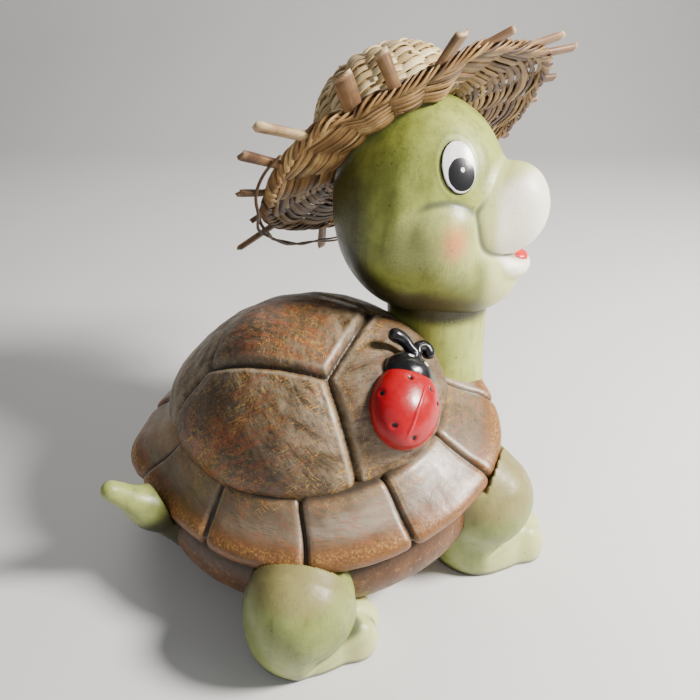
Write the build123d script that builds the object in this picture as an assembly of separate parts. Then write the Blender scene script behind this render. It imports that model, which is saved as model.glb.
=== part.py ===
from build123d import *
import math
import os

# Every length is in millimetres. A turtle with a domed shell looks over its right shoulder
# and wears a small woven hat. Forward is the way the shell points, right is the turtle's own right.

# Shell as a whole
shell_width = 239.0
shell_length = 217.0
shell_centre_height = 70.0
shell_tilt = 9.0
clay_wall = 6.0

# Domed carapace and its plates
dome_radius = 90.0
dome_sink = 7.0
scute_relief = 4.0
scute_bulge_shift = 10.0
scute_gap = 2.6
scute_edge_radius = 3.0
# Direction of each scute corner round the crown plate: bearing from forward to the right, and slope
crown_corner_bearings = (17.0, 104.0, 203.0, 290.0)
crown_corner_slopes = (57.0, 60.0, 50.0, 55.0)
flank_foot_bearings = (19.0, 110.0, 201.0, 290.0)
flank_foot_slope = -12.0
crown_scute_bearing = 200.0
crown_scute_slope = 84.0
outer_edge_share = 0.8

# Rim of marginal plates
plate_count = 11
plate_gap = 2.8
plate_relief = 2.6
plate_inner_height = 13.0
plate_crown = 1.8
rim_shoulder_inset = 6.0
rim_shoulder_height = 4.0
rim_nose_drop = 2.5
rim_under_inset = 5.0
rim_seat_radius = 79.0
rim_under_drop = 8.0

# Plastron, the bowl under the rim
bridge_radius = 104.0
bridge_seam_radius = 100.0
bridge_seam_drop = 18.0
bridge_seam_bead = 1.4
belly_shoulder_radius = 88.0
belly_shoulder_drop = 36.0
belly_radius = 58.0
belly_drop = 53.0
vent_radius = 6.0
vent_forward = -20.0

# Legs and feet
front_hip_from_front = 62.5
front_hip_from_side = 39.5
front_hip_height = 66.0
front_knee_from_front = 53.5
front_knee_from_side = 23.5
front_knee_height = 47.0
rear_hip_from_back = 46.5
rear_hip_from_side = 41.5
rear_hip_height = 40.0
rear_knee_from_back = 35.5
rear_knee_from_side = 29.5
rear_knee_height = 33.0
rear_left_tuck_in = 18.0
rear_left_tuck_forward = 10.0
hip_radius = 27.0
knee_radius = 30.0
foot_half_length = 31.0
foot_half_width = 25.0
foot_half_height = 21.0
foot_centre_height = 7.0
foot_step_forward = 7.0
foot_step_out = 2.0
foot_turn_out = 27.0
toe_count = 3
toe_half_length = 12.0
toe_half_width = 9.5
toe_half_height = 12.0
toe_centre_height = 8.0
toe_reach = 23.0
toe_spread = 29.0

# Tail
tail_root_from_back = 20.5
tail_root_height = 34.0
tail_length = 63.0
tail_root_radius = 17.0
tail_tip_radius = 5.0
tail_rise = 50.0

# Neck
neck_root_from_front = 24.5
neck_root_right = 22.0
neck_root_height = 58.0
neck_top_lead = 2.0
neck_top_right = 16.0
neck_root_radius = 36.0
neck_waist_radius = 31.0
neck_waist_height = 112.0
neck_top_radius = 33.0
neck_top_height = 154.0

# Head and face
head_setback = 9.0
head_right = 5.0
neck_into_head = 20.5
head_turn = 60.5
head_half_width = 52.0
head_half_height = 64.5
cheek_radius = 27.0
cheek_forward = 20.0
cheek_aside = 26.0
cheek_drop = 4.0
nose_half_width = 20.0
nose_half_length = 20.0
nose_half_height = 25.0
nose_forward = 54.0
nose_rise = 8.0
muzzle_radius = 27.0
muzzle_forward = 32.0
muzzle_drop = 12.0
chin_half_width = 18.0
chin_half_length = 16.0
chin_half_height = 11.0
chin_forward = 52.0
chin_drop = 30.0
tongue_half_width = 11.0
tongue_half_length = 12.0
tongue_half_height = 5.0
tongue_forward = 52.0
tongue_drop = 22.0
eye_bearing = 46.0
eye_half_width = 10.5
eye_half_height = 14.0
eye_half_depth = 8.0
eye_rise = 35.0
eye_sink = 4.5
pupil_half_width = 7.0
pupil_half_height = 9.0
pupil_half_depth = 3.0
pupil_lift = 6.5
pupil_drop = 5.0

# Ladybird on the front right scute
bug_bearing = 77.0
bug_slope = 37.5
bug_heading = 47.0
bug_half_width = 20.5
bug_half_length = 23.5
bug_half_height = 15.0
bug_lift = 2.0
bug_head_half_width = 16.0
bug_head_half_length = 13.0
bug_head_half_height = 12.0
bug_head_ahead = 19.0
feeler_radius = 3.8
feeler_length = 18.0
feeler_ahead = 29.0
feeler_splay = 38.0

# Hat, laid askew on the back left of the head
hat_lean = 45.0
hat_lean_bearing = 270.0
hat_seat_distance = 43.0
hat_slip_forward = 3.0
hat_clearance = 0.6
hat_crown_radius = 48.0
hat_crown_height = 50.0
hat_crown_shoulder_share = (0.86, 0.62)
weave_thickness = 3.2
brim_radius = 93.0
brim_droop = 5.0
border_radius = 3.0
border_flats = 6
stake_count = 19
stake_width = 9.5
stake_thickness = 2.0
stake_reach = 17.0
stake_reach_swing = 5.0
stake_swing_turns = 7
stake_root = 8.0

# Spots on the wing cases, as shares of their half length and half width
bug_spot_radius = 1.9
bug_spot_depth = 0.8
bug_spot_shares = ((0.55, 0.35), (0.05, 0.72), (-0.55, 0.3))
bug_split_width = 0.9
bug_split_depth = 0.9


# Places


def spot(forward, right, up):
    return Vector(-right, -forward, up)


def bearing_vector(bearing, slope):
    # Unit direction: bearing runs from forward to the right, slope rises from level
    level = math.cos(math.radians(slope))
    return spot(
        level * math.cos(math.radians(bearing)),
        level * math.sin(math.radians(bearing)),
        math.sin(math.radians(slope)),
    )


def ellipsoid(half_across, half_along, half_up):
    return scale(Sphere(1), by=(half_across, half_along, half_up))


# Legs, tail and neck keep their place by the sides and ends of the shell, the head by the neck
shell_side = shell_width / 2
shell_end = shell_length / 2
front_hip_forward = shell_end - front_hip_from_front
front_hip_right = shell_side - front_hip_from_side
front_knee_forward = shell_end - front_knee_from_front
front_knee_right = shell_side - front_knee_from_side
rear_hip_forward = rear_hip_from_back - shell_end
rear_hip_right = shell_side - rear_hip_from_side
rear_knee_forward = rear_knee_from_back - shell_end
rear_knee_right = shell_side - rear_knee_from_side
tail_root_forward = tail_root_from_back - shell_end
neck_root_forward = shell_end - neck_root_from_front
neck_top_forward = neck_root_forward + neck_top_lead
head_forward = neck_top_forward - head_setback
head_height = neck_top_height + head_half_height - neck_into_head

rim_radius = (shell_width + shell_length) / 4
stretch_across = shell_width / 2 / rim_radius
stretch_along = shell_length / 2 / rim_radius
groove_floor_radius = dome_radius - scute_relief
hollow_radius = groove_floor_radius - clay_wall
shell_place = Pos(0, 0, shell_centre_height) * Rot(-shell_tilt, 0, 0)
dome_centre = Vector(0, 0, -dome_sink)
head_place = Pos(spot(head_forward, head_right, head_height)) * Rot(0, 0, -head_turn)
everything = 2 * (rim_radius + head_height)


def place_shell(round_shape):
    # The shell is drawn round, then drawn out to its real oval and tipped up at the front
    oval = scale(round_shape, by=(stretch_across, stretch_along, 1))
    return shell_place * oval


def on_head(forward, right, up):
    return head_place * Pos(spot(forward, right, up))


def halfspace(normal, through):
    # A large block whose one face passes through a point, kept on the side the normal points away from
    size = everything
    block = Box(size, size, size)
    plane = Plane(origin=through, z_dir=normal)
    return plane * Pos(0, 0, -size / 2) * block


# Carapace


def seam_normal(first, second):
    return first.cross(second).normalized()


def scute(middle, corners):
    # One swollen plate: a ball set off towards its middle, cut by the seam planes round it
    ball = Pos(dome_centre + middle * scute_bulge_shift) * Sphere(dome_radius - scute_bulge_shift)
    plate = ball
    for index, corner in enumerate(corners):
        following = corners[(index + 1) % len(corners)]
        normal = seam_normal(following, corner)
        if normal.dot(middle) > 0:
            normal = -normal
        plate = plate & halfspace(normal, dome_centre - normal * (scute_gap / 2))
    outer_edges = [
        edge
        for edge in plate.edges()
        if (edge.center() - dome_centre).length > hollow_radius * outer_edge_share
    ]
    return fillet(outer_edges, scute_edge_radius)


def all_scutes():
    crown = [
        bearing_vector(bearing, slope)
        for bearing, slope in zip(crown_corner_bearings, crown_corner_slopes)
    ]
    feet = [bearing_vector(bearing, flank_foot_slope) for bearing in flank_foot_bearings]
    plates = [scute(bearing_vector(crown_scute_bearing, crown_scute_slope), crown)]
    for index in range(len(crown)):
        following = (index + 1) % len(crown)
        middle = (crown[index] + crown[following] + feet[index] + feet[following]).normalized()
        plates.append(
            scute(middle, [crown[index], crown[following], feet[following], feet[index]])
        )
    return plates


def dome_block():
    # The dome filled solid, standing on the middle plane of the rim
    block = Pos(dome_centre) * Sphere(groove_floor_radius)
    for plate in all_scutes():
        block = block + plate
    return block & halfspace(Vector(0, 0, -1), Vector(0, 0, 0))


def carapace_dome(block):
    return block - Pos(dome_centre) * Sphere(hollow_radius)


# Rim


def turned(*lines):
    # A face drawn as radius and height, turned once round the shell's axis
    return revolve(Plane.XZ * make_face(Wire(list(lines))), Axis.Z)


def rim_points(inset):
    inner_top = Vector(rim_seat_radius, plate_inner_height - inset)
    shoulder = Vector(rim_radius - rim_shoulder_inset - inset / 2, rim_shoulder_height - inset)
    nose_tip = Vector(rim_radius - inset, -rim_nose_drop)
    under = Vector(rim_radius - rim_under_inset - inset, -rim_under_drop)
    return inner_top, shoulder, nose_tip, under


def rim_outline():
    # Swollen top and rounded nose of the finished rim
    inner_top, shoulder, nose_tip, under = rim_points(0)
    crown = (inner_top + shoulder) / 2 + Vector(0, plate_crown)
    inner_under = Vector(rim_seat_radius, -rim_under_drop)
    return [
        ThreePointArc(inner_top, crown, shoulder),
        ThreePointArc(shoulder, nose_tip, under),
        Line(under, inner_under),
        Line(inner_under, inner_top),
    ]


def ring_block():
    # The ring under the plates, flat sided, its joint turned to the middle of a plate
    inner_under = Vector(rim_seat_radius, -rim_under_drop)
    outline = Polyline(*rim_points(plate_relief), inner_under, close=True)
    return Rot(0, 0, 180 / plate_count) * revolve(Plane.XZ * make_face(outline), Axis.Z)


def rim_ring(dome):
    return ring_block() - dome


def marginal_plates(dome):
    # Plates stand proud of the ring, with a gap between each two
    step = 360 / plate_count
    gap = math.degrees(plate_gap / rim_radius)
    face = Plane.XZ * make_face(Wire(rim_outline()))
    plate = revolve(face, Axis.Z, step - gap)
    plate = plate - ring_block()
    turns = [-90 + gap / 2 + step * index for index in range(plate_count)]
    return [Rot(0, 0, turn) * plate - dome for turn in turns]


# Plastron


def bowl_outer():
    # A notch runs round the bowl where the two shells of the animal meet
    rim_edge = Vector(bridge_radius, -rim_under_drop)
    above_seam = Vector(bridge_seam_radius, bridge_seam_bead - bridge_seam_drop)
    in_seam = Vector(bridge_seam_radius - bridge_seam_bead, -bridge_seam_drop)
    below_seam = Vector(bridge_seam_radius, -bridge_seam_bead - bridge_seam_drop)
    shoulder = Vector(belly_shoulder_radius, -belly_shoulder_drop)
    belly_edge = Vector(belly_radius, -belly_drop)
    return [
        Line(rim_edge, above_seam),
        Line(above_seam, in_seam),
        Line(in_seam, below_seam),
        ThreePointArc(below_seam, shoulder, belly_edge),
        Line(belly_edge, Vector(0, -belly_drop)),
    ]


def bowl_inner():
    rim_edge = Vector(bridge_radius - clay_wall, -rim_under_drop)
    shoulder = Vector(belly_shoulder_radius - clay_wall, clay_wall - belly_shoulder_drop)
    belly_edge = Vector(belly_radius - clay_wall, clay_wall - belly_drop)
    return [
        Line(rim_edge, shoulder),
        Line(shoulder, belly_edge),
        Line(belly_edge, Vector(0, clay_wall - belly_drop)),
    ]


def bowl_block():
    # The bowl filled solid up to the underside of the rim
    middle = Line(Vector(0, -belly_drop), Vector(0, -rim_under_drop))
    top = Line(Vector(0, -rim_under_drop), Vector(bridge_radius, -rim_under_drop))
    return turned(*bowl_outer(), middle, top)


def plastron():
    top = Line(
        Vector(bridge_radius, -rim_under_drop),
        Vector(bridge_radius - clay_wall, -rim_under_drop),
    )
    middle = Line(Vector(0, -belly_drop), Vector(0, clay_wall - belly_drop))
    shell = turned(*bowl_outer(), middle, *bowl_inner(), top)
    vent = Pos(spot(vent_forward, 0, clay_wall / 2 - belly_drop)) * Cylinder(vent_radius, clay_wall * 2)
    return place_shell(shell - vent)


# Limbs


def largest(shape):
    return max(shape.solids(), key=lambda solid: solid.volume)


def tapered_limb(start, end, start_radius, end_radius):
    # Two balls joined by the cone that lies against both
    length = (end - start).length
    lean = math.asin((start_radius - end_radius) / length)
    side = Vector(math.cos(lean), math.sin(lean))
    diagonal = math.pi / 4
    start_side = side * start_radius
    end_side = Vector(0, length) + side * end_radius
    start_pole = Vector(0, -start_radius)
    end_pole = Vector(0, length + end_radius)
    start_turn = (lean - math.pi / 2) / 2
    end_turn = (lean + math.pi / 2) / 2
    start_middle = Vector(math.cos(start_turn), math.sin(start_turn)) * start_radius
    end_middle = Vector(0, length) + Vector(math.cos(end_turn), math.sin(end_turn)) * end_radius
    outline = Wire(
        [
            ThreePointArc(start_pole, start_middle, start_side),
            Line(start_side, end_side),
            ThreePointArc(end_side, end_middle, end_pole),
            Line(end_pole, start_pole),
        ]
    )
    solid = revolve(Plane.XZ * make_face(outline), Axis.Z)
    return Plane(origin=start, z_dir=end - start) * solid


def above_table(shape):
    return shape & halfspace(Vector(0, 0, -1), Vector(0, 0, 0))


def leg(side, hip, knee, body):
    # The top of a leg runs in under the rim and stops level with the rim's edge
    hip_spot = spot(hip[0], side * hip[1], hip[2])
    knee_spot = spot(knee[0], side * knee[1], knee[2])
    limb = tapered_limb(hip_spot, knee_spot, hip_radius, knee_radius)
    limb = above_table(limb) & shell_place * halfspace(Vector(0, 0, 1), Vector(0, 0, -rim_nose_drop))
    for piece in body:
        limb = limb - piece
    return largest(limb)


def foot(side, knee, leg_solid, bowl):
    # A low pad turned outwards, with rounded toes along its front and a flat sole
    place = Pos(
        spot(knee[0] + foot_step_forward, side * (knee[1] + foot_step_out), 0)
    ) * Rot(0, 0, -side * foot_turn_out)
    pad = Pos(0, 0, foot_centre_height) * ellipsoid(
        foot_half_width, foot_half_length, foot_half_height
    )
    for index in range(toe_count):
        swing = toe_spread * (index - (toe_count - 1) / 2)
        toe = Rot(0, 0, swing) * Pos(spot(toe_reach, 0, toe_centre_height))
        pad = pad + toe * ellipsoid(toe_half_width, toe_half_length, toe_half_height)
    return largest(above_table(place * pad) - leg_solid - bowl)


# Tail and neck


def tail(body):
    root = spot(tail_root_forward, 0, tail_root_height)
    rise = math.radians(tail_rise)
    tip = root + spot(-math.cos(rise), 0, math.sin(rise)) * tail_length
    cone = tapered_limb(root, tip, tail_root_radius, tail_tip_radius)
    for piece in body:
        cone = cone - piece
    return largest(cone)


def neck_sections():
    share = (neck_waist_height - neck_root_height) / (neck_top_height - neck_root_height)
    root = spot(neck_root_forward, neck_root_right, neck_root_height)
    top = spot(neck_top_forward, neck_top_right, neck_top_height)
    waist = root + (top - root) * share
    return [(root, neck_root_radius), (waist, neck_waist_radius), (top, neck_top_radius)]


def neck_block(thinner):
    rings = []
    for centre, radius in neck_sections():
        plane = Plane(origin=centre, z_dir=Vector(0, 0, 1))
        rings.append(plane * Circle(radius - thinner))
    return loft(rings)


def neck(body, head_block):
    solid = neck_block(0)
    for piece in body:
        solid = solid - piece
    solid = solid - head_block
    return largest(solid) - neck_block(clay_wall)


# Head


def skull_block():
    skull = ellipsoid(head_half_width, head_half_width, head_half_height)
    for side in (1, -1):
        cheek = Pos(spot(cheek_forward, side * cheek_aside, -cheek_drop)) * Sphere(cheek_radius)
        skull = skull + cheek
    muzzle = Pos(spot(muzzle_forward, 0, -muzzle_drop)) * Sphere(muzzle_radius)
    return head_place * (skull + muzzle)


def skull_hollow():
    inner_width = head_half_width - clay_wall
    inner_height = head_half_height - clay_wall
    return head_place * ellipsoid(inner_width, inner_width, inner_height)


def nose(skull):
    # The ball's own joint is turned away from the face
    ball = Rot(0, 0, -90) * ellipsoid(nose_half_length, nose_half_width, nose_half_height)
    return on_head(nose_forward, 0, nose_rise) * ball - skull


def chin(skull, nose_solid, tongue_solid):
    lip = ellipsoid(chin_half_width, chin_half_length, chin_half_height)
    lip = on_head(chin_forward, 0, -chin_drop) * lip
    return largest(lip - skull - nose_solid - tongue_solid)


def tongue(skull, nose_solid):
    leaf = ellipsoid(tongue_half_width, tongue_half_length, tongue_half_height)
    leaf = on_head(tongue_forward, 0, -tongue_drop) * leaf
    return largest(leaf - skull - nose_solid)


def eye_place(side, lift, drop):
    # On the skin of the skull, turned to the side and leaning back with the brow
    height_share = eye_rise / head_half_height
    level_share = math.sqrt(1 - height_share**2)
    lean = math.degrees(math.atan2(height_share * head_half_width, level_share * head_half_height))
    return (
        on_head(0, 0, 0)
        * Rot(0, 0, -side * eye_bearing)
        * Pos(spot(head_half_width * level_share, 0, eye_rise))
        * Rot(-lean, 0, 0)
        * Pos(spot(lift, 0, -drop))
    )


def eye(side, skull):
    disc = ellipsoid(eye_half_width, eye_half_depth, eye_half_height)
    return largest(eye_place(side, -eye_sink, 0) * disc - skull)


def pupil(side, skull, eye_solid):
    disc = ellipsoid(pupil_half_width, pupil_half_depth, pupil_half_height)
    placed = eye_place(side, pupil_lift - eye_sink, pupil_drop) * disc
    return largest(placed - eye_solid - skull)


# Ladybird


def bug_plane():
    # Plane on the scute under the ladybird: z outwards, x the way it walks
    outward = bearing_vector(bug_bearing, bug_slope)
    crest = dome_centre + outward * dome_radius
    place = Vector(crest.X * stretch_across, crest.Y * stretch_along, crest.Z)
    normal = Vector(outward.X / stretch_across, outward.Y / stretch_along, outward.Z).normalized()
    uphill = (Vector(0, 0, 1) - normal * normal.Z).normalized()
    onward = uphill.cross(normal)
    heading = math.radians(bug_heading)
    ahead = uphill * math.cos(heading) + onward * math.sin(heading)
    seat = Plane(origin=place, x_dir=ahead, z_dir=normal)
    return Plane(shell_place * seat.location)


def wing_cases(place, dome):
    outer = ellipsoid(bug_half_length, bug_half_width, bug_half_height)
    inner = ellipsoid(
        bug_half_length - bug_split_depth,
        bug_half_width - bug_split_depth,
        bug_half_height - bug_split_depth,
    )
    slab = Box(bug_half_length * 2, bug_split_width, bug_half_height * 2)
    cases = outer - Pos(0, 0, bug_half_height) * slab + inner
    for ahead_share, side_share in bug_spot_shares:
        for side in (1, -1):
            rise = math.sqrt(1 - ahead_share**2 - side_share**2)
            dimple = Pos(
                bug_half_length * ahead_share,
                side * bug_half_width * side_share,
                bug_half_height * rise + bug_spot_radius - bug_spot_depth,
            )
            cases = cases - dimple * Sphere(bug_spot_radius)
    return largest(place * Pos(0, 0, bug_lift) * cases - dome)


def bug_head(place, wings, dome):
    ball = ellipsoid(bug_head_half_length, bug_head_half_width, bug_head_half_height)
    return largest(place * Pos(bug_head_ahead, 0, 0) * ball - wings - dome)


def feelers(place, wings, head_solid, dome):
    # Two fat feelers that lie forward on the scute and splay apart
    pair = []
    for side in (1, -1):
        root = Pos(feeler_ahead, side * feeler_radius, feeler_radius)
        swing = Rot(0, 0, side * feeler_splay) * Pos(feeler_length / 2, 0, 0)
        horn = ellipsoid(feeler_length / 2 + feeler_radius, feeler_radius, feeler_radius)
        pair.append(largest(place * root * swing * horn - head_solid - wings - dome))
    return pair


# Hat


def head_section():
    # Where the lower face of the brim cuts the head: how far uphill its middle lies, and half its length
    lean = math.radians(hat_lean)
    distance = hat_seat_distance - weave_thickness
    reach = math.hypot(head_half_width * math.sin(lean), head_half_height * math.cos(lean))
    slip = distance * (head_half_height**2 - head_half_width**2) * math.sin(lean) * math.cos(lean)
    half_length = head_half_width * head_half_height / reach
    return slip / reach**2, half_length * math.sqrt(1 - (distance / reach) ** 2)


def hat_plane():
    # Plane of the brim: z out of the top of the crown, centred over the head's section
    up = bearing_vector(hat_lean_bearing, 90 - hat_lean)
    uphill = bearing_vector(hat_lean_bearing + 180, hat_lean)
    slip, half_length = head_section()
    centre = spot(head_forward + hat_slip_forward, head_right, head_height)
    return Plane(origin=centre + up * hat_seat_distance + uphill * slip, z_dir=up)


def throat_radius():
    slip, half_length = head_section()
    return math.hypot(half_length, hat_slip_forward) + hat_clearance


def crown_line(thinner):
    radius = hat_crown_radius - thinner
    height = hat_crown_height - thinner
    out_share, up_share = hat_crown_shoulder_share
    foot_point = Vector(radius, 0)
    shoulder = Vector(radius * out_share, height * up_share)
    top = Vector(0, height)
    return Spline(foot_point, shoulder, top, tangents=(Vector(0, 1), Vector(-1, 0)))


def hat_crown():
    outer = crown_line(0)
    inner = crown_line(weave_thickness)
    return turned(outer, Line(outer @ 1, inner @ 1), inner, Line(inner @ 0, outer @ 0))


def brim_block():
    throat = throat_radius()
    outline = Polyline(
        (throat, 0),
        (hat_crown_radius, 0),
        (brim_radius, -brim_droop),
        (brim_radius, -brim_droop - weave_thickness),
        (throat, -weave_thickness),
        close=True,
    )
    return revolve(Plane.XZ * make_face(outline), Axis.Z)


def hat_border():
    # The twined edge, kept to a ring of six flats
    middle = Vector(brim_radius, -brim_droop - weave_thickness / 2)
    flats = Plane.XZ * Pos(middle) * RegularPolygon(border_radius, border_flats)
    return revolve(flats, Axis.Z)


def hat_stakes(border, brim):
    # Split wood stakes whose cut ends stand out past the border
    ends = []
    fall = math.degrees(math.atan2(brim_droop, brim_radius - hat_crown_radius))
    for index in range(stake_count):
        turn = 360 * index / stake_count
        swing = math.sin(math.radians(turn * stake_swing_turns))
        reach = stake_root + stake_reach + stake_reach_swing * swing
        stake = Pos(reach / 2, 0, 0) * Box(reach, stake_width, stake_thickness)
        root = Pos(brim_radius - stake_root, 0, -brim_droop - weave_thickness / 2)
        placed = Rot(0, 0, turn) * root * Rot(0, fall, 0) * stake
        ends.append(largest(placed - brim - border))
    return ends


# Assembly


def save(pieces, shift):
    os.makedirs("parts", exist_ok=True)
    for name, piece in pieces.items():
        solids = piece if isinstance(piece, list) else [piece]
        loose = [solid for shape in solids for solid in shape.solids()]
        moved = [shift * solid for solid in loose]
        shape = moved[0] if len(moved) == 1 else Compound(children=moved)
        export_step(shape, f"parts/{name}.step")


def figure_pieces():
    round_dome = dome_block()
    dome = place_shell(round_dome)
    rim_block = place_shell(turned(*rim_outline()))
    bowl = place_shell(bowl_block())
    inner_dome = place_shell(Pos(dome_centre) * Sphere(groove_floor_radius))
    body = [rim_block, bowl, inner_dome]
    skull = skull_block()
    pieces = {
        "carapace_dome": place_shell(carapace_dome(round_dome)),
        "rim_ring": place_shell(rim_ring(round_dome)),
        "marginal_plates": [place_shell(plate) for plate in marginal_plates(round_dome)],
        "plastron": plastron(),
        "tail": tail(body),
        "neck": neck([rim_block, bowl, dome], skull),
        "head": skull - skull_hollow() - neck_block(clay_wall),
    }
    pieces["nose"] = nose(skull)
    pieces["tongue"] = tongue(skull, pieces["nose"])
    pieces["lower_lip"] = chin(skull, pieces["nose"], pieces["tongue"])
    front = (
        (front_hip_forward, front_hip_right, front_hip_height),
        (front_knee_forward, front_knee_right, front_knee_height),
    )
    rear = (
        (rear_hip_forward, rear_hip_right, rear_hip_height),
        (rear_knee_forward, rear_knee_right, rear_knee_height),
    )
    tucked = [
        (joint[0] + rear_left_tuck_forward, joint[1] - rear_left_tuck_in, joint[2]) for joint in rear
    ]
    for side_name, side, back in (("right", 1, rear), ("left", -1, tucked)):
        for end_name, (hip, knee) in (("front", front), ("rear", back)):
            limb = leg(side, hip, knee, body)
            pieces[f"leg_{end_name}_{side_name}"] = limb
            pieces[f"foot_{end_name}_{side_name}"] = foot(side, knee, limb, bowl)
        eyeball = eye(side, skull)
        pieces[f"eye_{side_name}"] = eyeball
        pieces[f"pupil_{side_name}"] = pupil(side, skull, eyeball)
    bug = bug_plane()
    wings = wing_cases(bug, dome)
    pieces["ladybird_wing_cases"] = wings
    pieces["ladybird_head"] = bug_head(bug, wings, dome)
    pieces["ladybird_feelers"] = feelers(bug, wings, pieces["ladybird_head"], dome)
    return pieces


def hat_pieces():
    place = hat_plane()
    border = hat_border()
    brim = brim_block()
    pieces = {
        "hat_crown": hat_crown(),
        "hat_brim": brim - border,
        "hat_border": border,
    }
    placed = {name: place * piece for name, piece in pieces.items()}
    placed["hat_stakes"] = [place * stake for stake in hat_stakes(border, brim)]
    return placed


def main():
    pieces = figure_pieces()
    pieces.update(hat_pieces())
    solids = []
    for piece in pieces.values():
        solids.extend(piece if isinstance(piece, list) else [piece])
    box = Compound(children=[solid for shape in solids for solid in shape.solids()]).bounding_box()
    centre = box.center()
    print("origin shift", -centre.X, -centre.Y, -box.min.Z)
    save(pieces, Pos(-centre.X, -centre.Y, -box.min.Z))


main()
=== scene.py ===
import math
import bpy
import bmesh
import numpy as np
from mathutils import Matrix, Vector


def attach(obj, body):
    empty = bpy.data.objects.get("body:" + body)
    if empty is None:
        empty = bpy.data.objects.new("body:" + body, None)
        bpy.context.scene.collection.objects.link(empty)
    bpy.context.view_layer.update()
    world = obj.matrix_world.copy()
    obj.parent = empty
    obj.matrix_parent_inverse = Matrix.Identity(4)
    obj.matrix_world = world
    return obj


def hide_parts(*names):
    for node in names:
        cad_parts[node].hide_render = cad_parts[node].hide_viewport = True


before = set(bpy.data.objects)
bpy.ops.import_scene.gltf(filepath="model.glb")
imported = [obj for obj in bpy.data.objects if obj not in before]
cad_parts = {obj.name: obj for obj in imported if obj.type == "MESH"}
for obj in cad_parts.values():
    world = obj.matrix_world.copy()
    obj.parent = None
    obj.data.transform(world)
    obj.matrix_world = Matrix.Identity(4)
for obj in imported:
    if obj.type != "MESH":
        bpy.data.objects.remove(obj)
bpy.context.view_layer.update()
print("frame loaded,", len(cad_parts), "nodes")

mm = 0.001
middleBack = 27.528  # mm from the shell's middle back to the middle of the box
fullTurn = 2 * math.pi


# places and small sums, all in millimetres until a mesh is made

def size(v):
    return np.linalg.norm(v, axis=-1)


def unit(v):
    return np.asarray(v, float) / size(v)[..., None]


def at(forward, right, up):
    forward, right, up = np.broadcast_arrays(forward, right, up)
    return np.stack([-right, middleBack - forward, up], -1).astype(float)


def ringAt(radius, turn, up):
    return np.stack([radius * np.cos(turn), radius * np.sin(turn), up], -1)


def evenTurns(count):
    return np.linspace(0, fullTurn, count, endpoint=False)


def wrapped(degrees):
    return (degrees + 180) % 360 - 180


def grid(rows, columns):
    return np.meshgrid(rows, columns, indexing="ij")


def lengthsAlong(line):
    return np.concatenate([[0], np.cumsum(size(np.diff(line, axis=0)))])


def within(x):
    return np.clip(x, 0, 1)


def smooth(low, high, x):
    t = within((x - low) / (high - low))
    return t * t * (3 - 2 * t)


def bell(x, width):
    return np.exp(-(x / width) ** 2)


def meet(a, b, k):
    # two forms run together over a width k
    h = within(0.5 + 0.5 * (b - a) / k)
    return b * (1 - h) + a * h - k * h * (1 - h)


def egg(p, middle, half):
    q = (p - np.array(middle)) / half
    far = size(q)
    return far * (far - 1) / np.maximum(size(q / half), 1e-6)


def roundCone(p, a, b, ra, rb):
    ab = b - a
    t = within((p - a) @ ab / (ab @ ab))
    return size(p - a - t[:, None] * ab) - (ra + (rb - ra) * t)


def lumps(p, lump, seed=0.0):
    # cheap smooth unevenness, about -1 to 1
    x, y, z = np.moveaxis(p / lump + seed, -1, 0)
    one = np.sin(x * 1.7 + 2.1 * np.sin(y * 1.3 + seed)) * np.cos(z * 1.9 + 1.2 * np.sin(x * 0.9))
    two = np.sin(y * 3.1 + z * 2.3 + 1.7 * np.sin(x * 2.2 + seed * 2)) * 0.5
    three = np.sin(x * 5.3 - z * 4.1 + 2.0 * np.sin(y * 4.4)) * 0.25
    return (one + two + three) / 1.75


def curveThrough(points, count):
    # an even smooth line through the points
    points = np.asarray(points, float)
    ends = np.vstack([2 * points[0] - points[1], points, 2 * points[-1] - points[-2]])
    t = np.linspace(0, 1, 24, endpoint=False)[:, None]
    out = []
    for a, b, c, d in zip(ends, ends[1:], ends[2:], ends[3:]):
        bend = (2 * a - 5 * b + 4 * c - d) * t**2 + (3 * b - a - 3 * c + d) * t**3
        out.append(0.5 * (2 * b + (c - a) * t + bend))
    out = np.vstack(out + [points[-1:]])
    far = lengthsAlong(out)
    even = np.linspace(0, far[-1], count)
    return np.stack([np.interp(even, far, column) for column in out.T], -1)


# meshes

def meshPiece(name, points, faces, values):
    mesh = bpy.data.meshes.new(name)
    faces = faces if isinstance(faces, list) else faces.tolist()
    mesh.from_pydata((np.asarray(points) * mm).tolist(), [], faces)
    for key, value in values.items():
        layer = mesh.attributes.new(key, "FLOAT", "POINT")
        layer.data.foreach_set("value", np.asarray(value, np.float32).ravel())
    return linked(name, mesh)


def linked(name, mesh):
    mesh.polygons.foreach_set("use_smooth", [True] * len(mesh.polygons))
    piece = bpy.data.objects.new(name, mesh)
    bpy.context.scene.collection.objects.link(piece)
    return piece


def gridFaces(rows, columns):
    # quads between the rows, each row closed into a ring
    i = np.arange(rows - 1)[:, None] * columns
    j = np.arange(columns)[None]
    k = (j + 1) % columns
    return np.stack([i + j, i + k, i + columns + k, i + columns + j], -1).reshape(-1, 4)


def ballMesh(steps):
    # an even ball of directions and its faces
    bm = bmesh.new()
    bmesh.ops.create_icosphere(bm, subdivisions=steps, radius=1)
    bm.verts.ensure_lookup_table()
    ways = np.array([v.co for v in bm.verts])
    faces = np.array([[v.index for v in f.verts] for f in bm.faces])
    bm.free()
    return unit(ways), faces


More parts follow.
